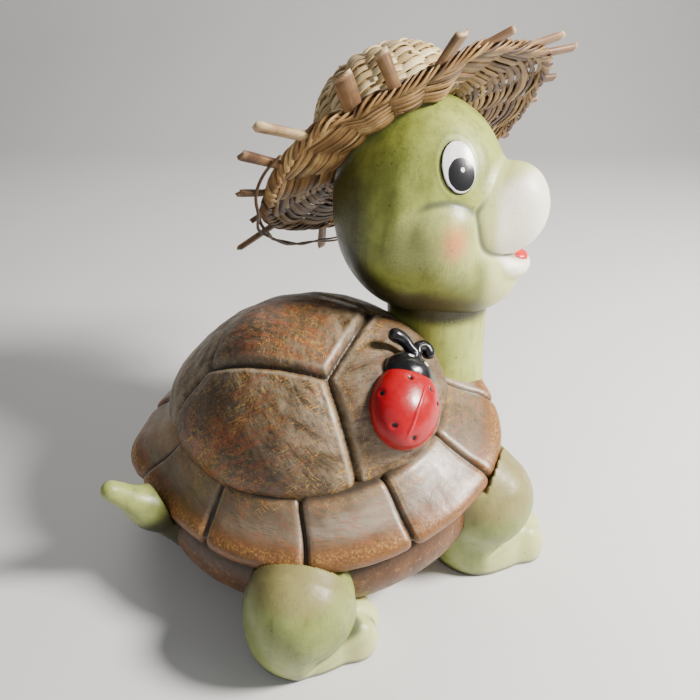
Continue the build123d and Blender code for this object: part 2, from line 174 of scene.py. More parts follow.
def castOut(form, middle, ways, reach):
    # where each way from the middle leaves the form: coarse steps inward, then halving
    coarse, halvings = 70, 12
    inner = np.zeros(len(ways))
    left = np.arange(len(ways))
    step = reach / coarse
    for k in range(coarse):
        t = reach - (k + 1) * step
        inside = form(middle + ways[left] * t) < 0
        inner[left[inside]] = t
        left = left[~inside]
        if not len(left):
            break
    outer = inner + step
    for _ in range(halvings):
        half = (inner + outer) / 2
        inside = form(middle + ways * half[:, None]) < 0
        inner = np.where(inside, half, inner)
        outer = np.where(inside, outer, half)
    return middle + ways * ((inner + outer) / 2)[:, None]


def keepFaces(faces, keep):
    # the faces whose corners are all kept, and which points they use
    faces = faces[keep[faces].all(axis=1)]
    old = np.unique(faces)
    new = np.full(len(keep), -1)
    new[old] = np.arange(len(old))
    return old, new[faces]


# materials

class Paint:
    # a material laid on coat by coat, with short calls for its nodes
    def __init__(self, name, tints=None):
        self.mat = bpy.data.materials.new(name)
        self.mat.use_nodes = True
        self.tree = self.mat.node_tree
        self.tree.nodes.clear()
        self.shader = self.tree.nodes.new("ShaderNodeBsdfPrincipled")
        out = self.tree.nodes.new("ShaderNodeOutputMaterial")
        self.tree.links.new(self.shader.outputs[0], out.inputs[0])
        self.place = self.node("TexCoord", {}, "Object")
        self.tints = tints or {}

    def put(self, socket, value):
        if isinstance(value, bpy.types.NodeSocket):
            self.tree.links.new(value, socket)
        elif value is not None:
            if hasattr(socket.default_value, "__len__"):
                value = value if hasattr(value, "__len__") else (value,) * 3
                if len(socket.default_value) == 4:
                    value = (*value, 1)
            socket.default_value = value

    def node(self, kind, inputs, out=0, **options):
        node = self.tree.nodes.new("ShaderNode" + kind)
        for key, value in options.items():
            setattr(node, key, value)
        for key, value in inputs.items():
            self.put(node.inputs[key], value)
        return node.outputs[out]

    def mask(self, name):
        return self.node("Attribute", {}, "Fac", attribute_name=name)

    def sum(self, way, a, b, clamp=False):
        return self.node("Math", {0: a, 1: b}, operation=way, use_clamp=clamp)

    def plus(self, a, b, clamp=False):
        return self.sum("ADD", a, b, clamp)

    def times(self, first, *others):
        for other in others:
            first = self.sum("MULTIPLY", first, other)
        return first

    def swing(self, x, share):
        # a noise swung about nought
        return self.times(self.sum("SUBTRACT", x, 0.5), share)

    def mapped(self, place, scale, turn=0.0, kind="POINT"):
        inputs = {"Vector": place, "Rotation": (0, 0, turn), "Scale": scale}
        return self.node("Mapping", inputs, vector_type=kind)

    def noise(self, lump, detail=3.0, rough=0.55, twist=0.0, place=None):
        # lump is the size of one, in millimetres
        return self.node("TexNoise", {
            "Vector": place or self.place, "Scale": 1000 / lump, "Detail": detail,
            "Roughness": rough, "Distortion": twist}, "Fac")

    def span(self, x, low, high, to=(0.0, 1.0)):
        return self.node("MapRange", {
            "Value": x, "From Min": low, "From Max": high, "To Min": to[0], "To Max": to[1],
        }, "Result", interpolation_type="SMOOTHSTEP")

    def patches(self, low, high, *noise):
        return self.span(self.noise(*noise), low, high)

    def layFlat(self):
        # a piece's own flat millimetres, kept apart from plate to plate
        plate = self.times(self.mask("plate"), 7.3)
        self.flat = self.node("CombineXYZ", {0: self.mask("su"), 1: self.mask("sv"), 2: plate})

    def strokes(self, turn, long, wide, low, high):
        # thin brushed strokes lying one way on the flat, sizes in millimetres
        place = self.mapped(self.flat, (long, wide, 1), turn, "TEXTURE")
        return self.span(self.noise(1000, 2, 0.5, 0.35, place), low, high)

    def ochre(self, cluster):
        # rubbed ochre: fine strokes lying three ways, gathered in patches
        three = [self.strokes(*way) for way in (
            (0.62, 8.0, 0.62, 0.60, 0.66), (-0.55, 6.0, 0.55, 0.61, 0.67),
            (1.25, 5.0, 0.60, 0.62, 0.68))]
        both = self.sum("MAXIMUM", three[0], self.sum("MAXIMUM", three[1], three[2]))
        return self.times(both, self.patches(0.46 - cluster, 0.62 - cluster, 17, 3, 0.6, 0.9))

    def mix(self, share, a, b):
        a, b = (self.tints[c] if isinstance(c, str) else c for c in (a, b))
        inputs = {"Factor": share, 6: a, 7: b}
        return self.node("Mix", inputs, 2, data_type="RGBA", clamp_factor=True)

    def ground(self, share, a, b):
        self.colour = self.mix(share, a, b)

    def coat(self, tint, *shares):
        self.colour = self.mix(self.times(*shares), self.colour, tint)

    def bump(self, height, depth, under=None):
        # depth of the relief in millimetres
        return self.node("Bump", {"Height": height, "Distance": depth * mm, "Normal": under})

    def done(self, normal, rough=None, **values):
        # rough is a noise and the two roughnesses it runs between
        if rough:
            values["Roughness"] = self.span(rough[0], 0.2, 0.8, rough[1:])
        for key, value in {"Base_Color": self.colour, "Normal": normal, **values}.items():
            self.put(self.shader.inputs[key.replace("_", " ")], value)
        return self.mat


def darker(tint, share):
    return tuple(min(1, c * share) for c in tint)


shellPaint = {
    "dark": (0.030, 0.019, 0.009), "ground": (0.095, 0.062, 0.028), "grey": (0.250, 0.200, 0.132),
    "red": (0.340, 0.066, 0.020), "rust": (0.250, 0.085, 0.026), "ochre": (0.620, 0.345, 0.060),
    "tan": (0.360, 0.190, 0.050), "grooveShade": (0.038, 0.026, 0.014), "edge": (0.360, 0.285, 0.190),
}


def makeShellPaint():
    p = Paint("shellPaint", shellPaint)
    p.layFlat()
    rub, red = p.mask("rub"), p.mask("red")
    small = p.noise(5, 4, 0.65, 0.8)
    p.ground(p.patches(0.34, 0.66, 32, 4, 0.6, 0.6), "dark", "ground")
    # painted sheen: a grey sheen laid over the plates, strongest towards their upper right
    p.coat("grey", p.mask("haze"), p.strokes(-0.5, 14, 4.5, 0.26, 0.74))
    p.coat("red", p.strokes(0.75, 17, 4.0, 0.44, 0.62), red, 0.85)
    p.coat("rust", p.strokes(0.4, 9, 1.4, 0.50, 0.62), p.plus(red, 0.25, True), 0.75)
    p.coat("dark", p.strokes(-0.8, 7.0, 0.7, 0.58, 0.66), 0.6)
    ochre = p.ochre(0.03)
    p.coat("ochre", ochre, rub)
    p.coat("tan", p.patches(0.50, 0.66, 1.5, 3, 0.7, 0.6), rub, 0.42)
    p.coat("dark", p.patches(0.52, 0.66, 2.1, 3, 0.7, 0.8), 0.55)
    p.coat("ochre", p.strokes(0.2, 1.6, 0.7, 0.64, 0.70), rub, 0.8)
    # painted highlight: a pale line along the raised lip inside each plate's groove
    p.coat("edge", p.mask("ridge"), p.span(small, 0.32, 0.62, (0.25, 0.95)))
    # painted shade in the grooves between the plates and in the crease at the dome's foot
    p.coat("grooveShade", p.span(p.plus(p.mask("seam"), p.swing(small, 0.4), True), 0.2, 0.95))
    grain = p.bump(p.plus(small, p.times(p.noise(1.6, 3, 0.6), 0.3)), 0.24)
    return p.done(p.bump(ochre, 0.08, grain), (small, 0.36, 0.54),
                  Specular_IOR_Level=0.5, Coat_Weight=0.10, Coat_Roughness=0.28)


rimPaint = {
    "brown": (0.110, 0.072, 0.038), "tan": (0.205, 0.145, 0.088), "grey": (0.315, 0.250, 0.180),
    "warm": (0.185, 0.078, 0.026), "clay": (0.330, 0.115, 0.050), "dark": (0.050, 0.034, 0.020),
    "gold": (0.480, 0.255, 0.060), "line": (0.400, 0.315, 0.215), "grooveShade": (0.048, 0.034, 0.022),
}


def makeRimPaint():
    p = Paint("rimPaint", rimPaint)
    p.layFlat()
    small = p.noise(4, 4, 0.65, 0.6)
    p.ground(p.patches(0.34, 0.66, 26, 3, 0.55, 0.4), "brown", "tan")
    # painted sheen: a grey sheen on the upper faces of the rim plates
    p.coat("grey", p.mask("haze"), p.strokes(0.15, 26, 9, 0.22, 0.70))
    p.coat("warm", p.span(p.plus(p.mask("outer"), p.swing(small, 0.5)), 0.15, 1.0))
    p.coat("clay", p.strokes(0.5, 11, 2.2, 0.54, 0.66), 0.45)
    p.coat("dark", p.strokes(0.1, 9.0, 0.8, 0.60, 0.68), 0.5)
    p.coat("gold", p.ochre(0.0), p.mask("rub"))
    p.coat("gold", p.patches(0.46, 0.66, 1.3, 4, 0.7, 0.5), p.mask("worn"))
    # painted highlight: a pale line along each plate's raised side, brighter on one side of the
    # gap
    p.coat("line", p.mask("ridge"), p.span(small, 0.3, 0.65, (0.2, 0.8)))
    # painted shade in the gaps between the plates, where the rim runs under the dome and on its
    # underside
    p.coat("grooveShade", p.span(p.plus(p.mask("seam"), p.swing(small, 0.4), True), 0.2, 0.95))
    grain = p.bump(p.plus(small, p.times(p.noise(1.4, 3, 0.6), 0.3)), 0.18)
    return p.done(grain, (small, 0.32, 0.50), Coat_Weight=0.12, Coat_Roughness=0.28)


bellyPaint = {
    "dark": (0.085, 0.034, 0.012), "warm": (0.200, 0.082, 0.026), "stain": (0.115, 0.055, 0.024),
    "gold": (0.50, 0.28, 0.10), "grooveShade": (0.055, 0.028, 0.014),
}


def makeBellyPaint():
    p = Paint("bellyPaint", bellyPaint)
    small = p.noise(4, 4, 0.6)
    p.ground(p.patches(0.3, 0.7, 26, 4, 0.6, 0.8), "dark", "warm")
    p.coat("stain", p.patches(0.55, 0.75, 9, 4, 0.7, 1.0))
    p.coat("gold", p.patches(0.55, 0.68, 3, 4, 0.7), 0.4)
    # painted shade in the crease and growing towards the top of the bowl, under the rim
    p.coat("grooveShade", p.span(p.plus(p.mask("seam"), p.times(small, 0.3)), 0.3, 1.0))
    return p.done(p.bump(p.plus(small, p.noise(1.5, 3, 0.6)), 0.22), (small, 0.36, 0.52))


skinPaint = {
    "headPaint": ((0.205, 0.235, 0.036), (0.370, 0.415, 0.085)),
    "neckPaint": ((0.300, 0.350, 0.058), (0.440, 0.490, 0.105)),
    "legsPaint": ((0.215, 0.255, 0.058), (0.345, 0.385, 0.110)),
    "tailPaint": ((0.190, 0.230, 0.055), (0.320, 0.360, 0.095)),
    # mask, how far the spray frays it, where it starts and is full, strength, colour
    "coats": (
        ("light", 0.30, 0.12, 0.88, 1.00, (0.58, 0.60, 0.235)),
        ("white", 0.20, 0.20, 0.90, 1.00, (0.95, 0.90, 0.72)),
        ("blush", 0.35, 0.10, 1.00, 1.00, (0.82, 0.150, 0.070)),
        ("shade", 0.55, 0.15, 0.95, 0.94, (0.026, 0.020, 0.007)),
        ("warm", 0.40, 0.20, 0.90, 0.65, (0.270, 0.185, 0.085)),
        # crease lays painted shade into folds, the gaps between the toes and round the eyes
        ("crease", 0.20, 0.15, 0.95, 0.85, (0.075, 0.090, 0.050)),
    ),
    "specks": (0.045, 0.040, 0.018),
}


def makeSkinPaint(name):
    # sprayed green with cream, shade and blush laid over it
    p = Paint(name, skinPaint)
    dark, pale = skinPaint[name]
    fine, mid = p.noise(1.1, 2, 0.6), p.noise(6, 4, 0.6, 0.4)
    brushed = p.noise(7, 3, 0.6, 0.3, p.mapped(p.place, (1, 1, 0.16)))
    spray = p.swing(fine, 0.9)
    big = p.plus(p.noise(34, 3, 0.55, 0.4), p.times(spray, 0.25))
    p.ground(p.span(big, 0.35, 0.68), dark, pale)
    p.coat(darker(dark, 0.62), p.span(mid, 0.5, 0.75), 0.35)
    p.coat(darker(dark, 0.60), p.span(brushed, 0.48, 0.68), 0.45)
    for mask, fray, low, high, strength, tint in skinPaint["coats"]:
        p.coat(tint, p.span(p.plus(p.mask(mask), p.times(spray, fray)), low, high), strength)
    p.coat("specks", p.patches(0.70, 0.76, 1.5, 1, 0.5), p.patches(0.45, 0.62, 12, 2, 0.5), 0.85)
    grain = p.bump(p.plus(p.noise(3.2, 3, 0.6), p.times(fine, 0.30)), 0.16)
    return p.done(grain, (mid, 0.36, 0.50), Coat_Weight=0.08, Coat_Roughness=0.3)


glossPaint = {
    "bugCrimson": ((0.340, 0.001, 0.006), (0.400, 0.002, 0.009), 0.26),
    "bugBlack": ((0.006, 0.006, 0.007), (0.016, 0.016, 0.018), 0.16),
    "tongueRed": ((0.55, 0.010, 0.012), (0.68, 0.020, 0.020), 0.28),
    "pit": (0.012, 0.008, 0.008), "dot": (0.80, 0.80, 0.76), "wear": 0.14,
}


def makeGlossPaint(name):
    p = Paint(name, glossPaint)
    low, high, rough = glossPaint[name]
    big = p.noise(9, 3, 0.6, 0.5)
    p.ground(p.span(big, 0.35, 0.65), low, high)
    p.coat("pit", p.span(p.plus(p.mask("pit"), p.swing(p.noise(1.2, 2), 0.3)), 0.35, 0.6))
    p.coat("dot", p.span(p.mask("dot"), 0.45, 0.55))
    return p.done(p.bump(p.noise(2.2, 3, 0.6), 0.08), (big, rough, rough + glossPaint["wear"]),
                  Coat_Weight=0.2, Coat_Roughness=0.14, Specular_IOR_Level=0.35)


eyeShape = {"middle": (29.4, 32.3, 34.9), "halfAcross": 10.8, "halfUp": 15.2}
eyePaint = {
    "white": (0.86, 0.86, 0.82), "cream": (0.74, 0.74, 0.70), "black": (0.012, 0.012, 0.014),
    "glint": (0.95, 0.95, 0.95),
    # middle across and up, and half sizes, in the eye's own millimetres
    "outlineAt": (0, 0, eyeShape["halfAcross"], eyeShape["halfUp"]),
    "pupilAt": (-0.6, -4.4, 7.8, 8.6), "glintAt": (-1.3, -2.2, 1.1, 1.25),
}


def makeEyePaint():
    # white with a black outline, pupil and one spot of light
    p = Paint("eyePaint", eyePaint)

    def oval(name):
        x, y, halfX, halfY = eyePaint[name]
        squares = []
        for mask, middle, half in (("across", x, halfX), ("up", y, halfY)):
            away = p.sum("DIVIDE", p.sum("SUBTRACT", p.mask(mask), middle), half)
            squares.append(p.times(away, away))
        return p.plus(*squares)

    wobble = p.swing(p.noise(4, 2), 0.12)
    p.ground(p.patches(0.4, 0.7, 5, 3), "white", "cream")
    p.coat("black", p.span(p.plus(oval("outlineAt"), wobble), 0.80, 0.84))
    p.coat("black", p.span(p.plus(oval("pupilAt"), wobble), 0.95, 1.03, (1.0, 0.0)))
    p.coat("glint", p.span(oval("glintAt"), 0.8, 1.2, (1.0, 0.0)))
    return p.done(p.bump(p.noise(2.0, 3), 0.05), Roughness=0.26,
                  Coat_Weight=0.15, Coat_Roughness=0.12, Specular_IOR_Level=0.35)


strawPaint = {
    # dark, middle, pale, and how far the tone is shifted
    "strawPaint": ((0.055, 0.024, 0.009), (0.250, 0.132, 0.042), (0.600, 0.410, 0.165), 0.0),
    "crownStraw": ((0.160, 0.088, 0.032), (0.480, 0.320, 0.130), (0.800, 0.650, 0.350), 0.04),
    "splintWood": ((0.090, 0.040, 0.018), (0.300, 0.155, 0.070), (0.760, 0.560, 0.300), 0.0),
    "soot": (0.05, 0.025, 0.012), "deep": (0.050, 0.024, 0.010),
}


def makeStrawPaint(name):
    # split straw: colour by strand, fibres along it
    p = Paint(name, strawPaint)
    dark, mid, pale, shift = strawPaint[name]
    tint = p.mask("tint")
    stretched = {key: p.times(mask, share) for key, mask, share in (
        (0, p.mask("along"), 0.010), (1, p.mask("across"), 0.75), (2, tint, 37.0))}
    fibre = p.noise(400, 4, 0.65, 0.3, p.node("CombineXYZ", stretched))
    tone = p.plus(p.times(tint, 0.78), p.swing(p.noise(16, 3, 0.6), 0.9))
    tone = p.plus(tone, shift)
    p.ground(p.span(tone, 0.05, 0.45), dark, mid)
    p.coat(pale, p.span(tone, 0.42, 0.85))
    p.coat(darker(mid, 0.42), p.span(fibre, 0.48, 0.70), 0.62)
    p.coat(darker(pale, 1.35), p.span(fibre, 0.30, 0.42, (1.0, 0.0)), 0.35)
    p.coat("soot", p.patches(0.62, 0.74, 2.4, 3, 0.7), 0.4)
    # painted shade on the far side of the brim, on the loose lashings and under the splints
    p.coat("deep", p.mask("deep"), 0.80)
    return p.done(p.bump(fibre, 0.25), (fibre, 0.38, 0.62), Specular_IOR_Level=0.45)


# the shell: a dome of five plates, drawn round, then drawn out to its oval and tipped

shell = {
    "width": 239.0, "length": 217.0, "height": 70.0, "tilt": 9.0,
    "domeRadius": 90.0, "domeSink": 7.0, "bulge": 10.0, "cutHeight": 6,
    "crownBearings": (17.0, 104.0, 203.0, 290.0), "crownSlopes": (57.0, 60.0, 50.0, 55.0),
    "footBearings": (19.0, 110.0, 201.0, 290.0), "footSlope": -12.0, "crownMiddle": (200.0, 84.0),
    "grooveDepth": 2.6, "grooveWidth": 1.9, "shoulderDepth": 1.6, "shoulderWidth": 7.0,
    "lip": 0.45, "lipAway": 5.0, "lipWidth": 1.8,
    # the crease where the dome meets the rim, and the easing above it
    "foot": 19.0, "footDepth": 2.4, "footWidth": 4.2, "easeDepth": 1.2, "easeWidth": 9,
    # swellings: bearing, slope, rise, width
    "hip": (217.0, 12.0, 8.0, 32.0), "hipFade": (50, 28), "nape": (36.0, 42.0, 6.5, 24.0),
    # under the ladybird: rise and reach, then depth, place and width of the ring round it
    "bugRise": 1.6, "bugReach": (20, 33), "bugDip": 2.6, "bugDipAt": 40, "bugDipWidth": 8,
    # unevenness: rise, lump, seed
    "uneven": ((0.35, 0.11, 5.0), (0.15, 0.045, 8.0)), "wander": (0.22, 3.0),
}
bug = {
    "bearing": 77.0, "slope": 37.5, "heading": 60.0, "lift": 2.0, "half": (23.5, 20.5, 15.0),
    "headMiddle": (18, 1.5, 1.0), "headHalf": (12.5, 15.5, 12.0),
    "dots": ((25.3, 6.8, 8.3), (25.0, -2.5, 10.6)), "dotRadius": 1.6,
    # the small pits, and the line where the wing cases meet
    "pits": ((11.3, 8.0, 13.8), (-1.5, 19.2, 7.3), (10.35, -5.8, 14.8), (-16.5, 9.2, 10.5),
             (-18.2, -4.0, 10.9), (5.2, -12.9, 13.2)),
    "wingLine": ((-24, -1.0), (-16.6, 0.8), (-7.2, 1.5), (6.4, -0.3), (20, -1.5)),
    # each feeler's width and line
    "feelers": (
        (3.9, ((25, 3, 3), (31, 2, 3.6), (33, 5.7, 3.4), (35.7, 10.5, 3.0), (36.1, 15.6, 2.8),
               (35.2, 20.2, 2.4))),
        (3.7, ((27, 0, 3), (33, 0.5, 3.2), (36.2, 0.6, 3.0), (38.7, -3, 2.8), (37.5, -6.7, 2.6),
               (33.1, -8.6, 2.2))),
    ),
}
rimRadius = (shell["width"] + shell["length"]) / 4
stretch = np.array([shell["width"] / 2 / rimRadius, shell["length"] / 2 / rimRadius, 1])
tilt = math.radians(shell["tilt"])
tiltCos, tiltSin = math.cos(tilt), math.sin(tilt)
domeMiddle = np.array([0, 0, -shell["domeSink"]])


def bearingWay(bearing, slope):
    b, s = np.broadcast_arrays(np.radians(bearing), np.radians(slope))
    return np.stack([-np.cos(s) * np.sin(b), -np.cos(s) * np.cos(b), np.sin(s)], -1)


bugWay = bearingWay(bug["bearing"], bug["slope"])


def placeShell(p):
    x, y, z = np.moveaxis(p * stretch, -1, 0)
    back, up = y * tiltCos + z * tiltSin, z * tiltCos - y * tiltSin
    return np.stack([x, back + middleBack, up + shell["height"]], -1)


def angleTo(ways, way):
    return np.arccos(np.clip(ways @ way, -1, 1))


def swell(ways, bearing, slope, rise, width):
    return rise * bell(np.degrees(angleTo(ways, bearingWay(bearing, slope))), width)


def plateOf(ways):
    # which plate each way falls in, that plate's middle, and how far off its edge is
    crown = bearingWay(shell["crownBearings"], shell["crownSlopes"])
    feet = bearingWay(shell["footBearings"], shell["footSlope"])
    plates = [(bearingWay(*shell["crownMiddle"]), list(crown))]
    for i in range(4):
        j = (i + 1) % 4
        corners = [crown[i], crown[j], feet[j], feet[i]]
        plates.append((unit(sum(corners)), corners))
    best, which = np.full(len(ways), -1e9), np.zeros(len(ways), int)
    for index, (middle, corners) in enumerate(plates):
        inside = np.full(len(ways), 1e9)
        for k, corner in enumerate(corners):
            if index and k == 2:
                continue  # the side plates run on below the rim
            normal = unit(np.cross(corner, corners[(k + 1) % 4]))
            normal = normal if normal @ middle > 0 else -normal
            inside = np.minimum(inside, ways @ normal * shell["domeRadius"])
        which = np.where(inside > best, index, which)
        best = np.maximum(inside, best)
    return which, np.array([middle for middle, _ in plates])[which], np.maximum(best, 0)


def domeSurface(ways):
    # radius along each way, and what the paint needs to know
    which, middle, seam = plateOf(ways)
    level, bulge = np.sum(ways * middle, -1), shell["bulge"]
    small = shell["domeRadius"] - bulge
    radius = bulge * level + np.sqrt(np.maximum(small**2 - bulge**2 * (1 - level**2), 1))
    steep = np.degrees(np.arcsin(np.clip(ways[:, 2], -1, 1)))
    radius = radius + swell(ways, *shell["hip"]) * smooth(*shell["hipFade"], steep)
    radius = radius + swell(ways, *shell["nape"])
    wander = lumps(ways, *shell["wander"])
    radius = radius - shell["grooveDepth"] * bell(seam + 0.5 * wander, shell["grooveWidth"])
    radius = radius - shell["shoulderDepth"] * bell(seam, shell["shoulderWidth"])
    radius = radius + shell["lip"] * bell(seam - shell["lipAway"], shell["lipWidth"])
    height = ways[:, 2] * radius - shell["domeSink"]
    above = height - shell["foot"]
    radius = radius - shell["footDepth"] * bell(above - 1.1 * wander, shell["footWidth"])
    radius = radius - shell["easeDepth"] * bell(above, shell["easeWidth"])
    for rise, lump, seed in shell["uneven"]:
        radius = radius + rise * lumps(ways, lump, seed)
    # the front plate swells under the ladybird and dips in a ring round it
    bugFar = angleTo(ways, bugWay) * shell["domeRadius"]
    under = shell["bugRise"] * (1 - smooth(*shell["bugReach"], bugFar))
    under = under - shell["bugDip"] * bell(bugFar - shell["bugDipAt"], shell["bugDipWidth"])
    radius = radius + np.where(which == 1, under, 0)
    across = unit(np.cross([0, 0, 1.0], middle) + [1e-6, 0, 0])
    along = np.cross(middle, across)
    su, sv = (shell["domeRadius"] * np.sum(ways * way, -1) for way in (across, along))
    return radius, seam, which, height, bugFar, su, sv


def makeDome():
    ways, faces = ballMesh(8)
    found = domeSurface(ways)
    height = found[3]
    old, faces = keepFaces(faces, height > shell["cutHeight"])
    radius, seam, which, height, bugFar, su, sv = (column[old] for column in found)
    points = placeShell(domeMiddle + ways[old] * radius[:, None])
    front = which == 1
    away = lumps(points, 34, 1.0)
    middle = bell(np.hypot(su + 4, sv * 1.25), 34)
    # painted sheen on the back plates, growing towards each plate's upper right and near its edges
    sheenBack = 0.12 + 0.012 * sv + 0.013 * su + 0.45 * smooth(16, 3, seam) + 0.35 * away
    rubFront = within(bell(seam - 7, 4.5) + 0.35 * smooth(44, 30, height))
    values = {
        "su": su, "sv": sv, "plate": which,
        # seam: painted shade in the grooves and in the crease where the dome meets the rim
        "seam": np.maximum(bell(seam, 2.0) * 0.8, bell(height - shell["foot"] + 1.5, 3.6)),
        # ridge: where that painted highlight runs, along the lip inside each groove
        "ridge": bell(seam - 4.2, 1.2) * smooth(14, 26, height) * np.where(which == 0, 0.45, 0.9),
        "red": np.where(front, 0.12, within(0.95 * middle + 0.5 * away - 0.1)),
        # painted sheen on the front plate, in a ring round the ladybird
        "haze": np.where(front, within(0.35 + 0.75 * bell(bugFar - 31, 10)),
                         np.clip(sheenBack, 0, 0.9)),
        "rub": np.where(front, rubFront, np.clip(0.5 + 0.5 * away + 0.3 * middle, 0.1, 1)),
    }
    return meshPiece("shellDome", points, faces, values)


rim = {
    "plates": 11, "meanRadius": 100, "gapDepth": 2.7, "gapWidth": 1.5,
    "roundDepth": 0.8, "roundWidth": 4.2, "lift": 4.0, "liftTurn": 64.0, "liftWidth": 14.0,
    # radius and height, from under the dome over the edge and back in
    "profile": ((74, 21.0), (79, 22.4), (84, 20.8), (90, 17.2), (97, 12.6), (104, 7.8),
                (110, 3.6), (113.4, 0.2), (114.2, -3.2), (112.6, -6.6), (108.5, -8.4),
                (102, -8.6), (97, -8.6)),
    # how far the edge stands out of that profile, by turn
    "turns": (-180, -161, -141, -114, -90, -60, -30, 5, 30, 50, 61, 68, 76, 84, 100, 116, 138,
              160, 180),
    "reach": (-6, -2, 1.5, 3, 2, 0, -2, -6, -2, 3, 8, 6, 0, -4, -6, -5, -5.5, -6, -6),
}


def rimReach(turn):
    degrees = wrapped(np.degrees(turn))
    swing = [np.interp(wrapped(degrees + k), rim["turns"], rim["reach"])
             for k in (-5, -2.5, 0, 2.5, 5)]
    return sum(swing) / len(swing), rim["lift"] * bell(degrees - rim["liftTurn"], rim["liftWidth"])


def makeRim():
    line = curveThrough(rim["profile"], 96)
    slope = np.gradient(line, axis=0)
    outward = unit(np.stack([-slope[:, 1], slope[:, 0]], -1))
    row, t = grid(np.arange(len(line)), evenTurns(rim["plates"] * 96))
    (profile, rise), share = np.moveaxis(line[row], -1, 0), row / (len(line) - 1)
    step = fullTurn / rim["plates"]
    off = (t + math.pi / 2) / step
    plate = np.floor(off) % rim["plates"]
    apart = (off - np.round(off)) * step * rim["meanRadius"]
    apart = apart + 0.72 * np.sin(profile * 0.13 + np.round(off) * 2.3)
    flat = ringAt(profile, t, rise)
    relief = 0.4 * lumps(flat, 24, 2.0) + 0.12 * lumps(flat, 8, 6.0)
    relief = relief - rim["gapDepth"] * bell(apart, rim["gapWidth"])
    relief = relief - rim["roundDepth"] * bell(apart, rim["roundWidth"])
    relief = relief + 0.15 * bell(np.abs(apart) - 4.6, 1.8)
    relief = relief - 0.7 * bell(share - 0.38, 0.12) + 0.5 * bell(share - 0.16, 0.05)
    relief = relief * smooth(0.99, 0.86, share)
    onPlate = smooth(0.0, 0.3, share) * smooth(0.8, 0.6, share)
    relief = relief + 0.4 * np.sin(plate * 2.7) * onPlate
    reach, lift = rimReach(t)
    radius = profile + outward[row][..., 0] * relief + reach * smooth(0.05, 0.60, share)
    up = rise + outward[row][..., 1] * relief + lift * smooth(0.1, 0.6, share)
    points = placeShell(ringAt(radius, t, up).reshape(-1, 3))
    # painted shade where the rim runs under the dome and on the rim's underside
    underShade = np.maximum(bell(share - 0.08, 0.07), smooth(0.74, 0.88, share))
    # painted highlight along the plate edges, brighter on one side of each gap
    ridge = bell(np.abs(apart) - 3.2, 0.6) * np.where(apart > 0, 0.85, 0.3)
    worn = bell(share - 0.615, 0.05) + 0.5 * bell(share - 0.18, 0.03)
    sheenShare = 0.55 + 0.45 * np.sin(plate * 1.9 + 0.6)
    values = {
        "su": (off - np.floor(off)) * step * rim["meanRadius"], "sv": lengthsAlong(line)[row],
        "plate": plate, "seam": np.maximum(bell(apart, 1.7), underShade),
        "ridge": ridge * smooth(0.10, 0.2, share) * smooth(0.72, 0.6, share),
        "outer": smooth(0.38, 0.62, share),
        "worn": within(worn + 0.7 * bell(lift - 4, 1.2) * smooth(0.5, 0.3, share)),
        "haze": smooth(0.12, 0.3, share) * smooth(0.66, 0.40, share) * sheenShare,
        "rub": 0.25 + 0.75 * smooth(0.40, 0.2, share),
    }
    return meshPiece("rimPlates", points, gridFaces(*row.shape), values)


# the belly is a deep bowl hung under the rim

bowl = {
    "profile": ((96, -3), (103, -8), (107, -14), (109, -22), (108.5, -30), (105.5, -38),
                (98.5, -46), (87, -52.5), (68, -56), (40, -57.5), (2, -58)),
    # fuller and slimmer places: rise and turn
    "swings": ((3.0, 100.0), (-4.0, 175.0)), "swingWidth": 42.0, "swingFrom": (20, 90),
    "crease": -37.5, "creaseDepth": 1.1, "creaseWidth": 1.1, "lowest": 1.2,
}


def makeBowl():
    line = curveThrough(bowl["profile"], 90)
    i, t = grid(np.arange(len(line)), evenTurns(360))
    radius, up = np.moveaxis(line[i], -1, 0)
    swing = sum(rise * bell(np.degrees(t) - turn, bowl["swingWidth"])
                for rise, turn in bowl["swings"])
    flat = ringAt(radius, t, up)
    crease = bell(up - bowl["crease"] - 1.2 * lumps(flat, 30, 1.0), bowl["creaseWidth"])
    radius = radius + swing * smooth(*bowl["swingFrom"], radius)
    radius = radius - bowl["creaseDepth"] * crease + 0.5 * lumps(flat, 22, 3.0)
    points = placeShell(ringAt(np.maximum(radius, 0.5), t, up).reshape(-1, 3))
    points[:, 2] = np.maximum(points[:, 2], bowl["lowest"])
    # seam: the crease, and painted shade growing towards the top of the bowl under the rim
    values = {"seam": within(0.8 * crease + smooth(-26, -8, up) * 0.85)}
    return meshPiece("bellyBowl", points, gridFaces(*i.shape), values)


# legs and feet, one cast form each, with the fold where the foot leaves the leg

leg = {
    "frontHip": (46, 80, 66), "frontKnee": (55, 96, 47),
    "rearHip": (-60, 75, 40), "rearKnee": (-70, 85, 35),
    "tuck": (8, -14, 0), "hipRadius": 27, "kneeRadius": 30, "stepAhead": 8, "stepOut": 1,
    "turnOut": 27, "pad": (0, 0, 8), "padHalf": (31, 23, 25),
    "heel": (-11, 0, 9), "heelHalf": (24, 24, 22), "heelRun": 8,
    "toeHalf": (12, 9.5, 15), "toeUp": 9, "toeReach": 24, "toeSpread": 29, "toeRun": 3.5,
    "fold": (-14, 4), "foldDepth": 1.1, "foldWidth": 2.2, "heelSoft": 16,
    "core": (-4, 0, 17), "reach": 95, "rimClear": 115.5, "rimUnder": -8.0, "ground": 0.02,
}


def rimBlock(p, clear, side=1):
    # below zero where the rim is, above its underside and within its edge and a little more
    y, z = -p[:, 0], p[:, 2] - shell["height"]
    back, up = y * tiltCos - z * tiltSin, y * tiltSin + z * tiltCos
    far = np.hypot(p[:, 1] / stretch[0], back / stretch[1])
    reach, _ = rimReach(np.arctan2(back, -side * p[:, 1]))
    return np.maximum(far - clear - reach, leg["rimUnder"] - up)


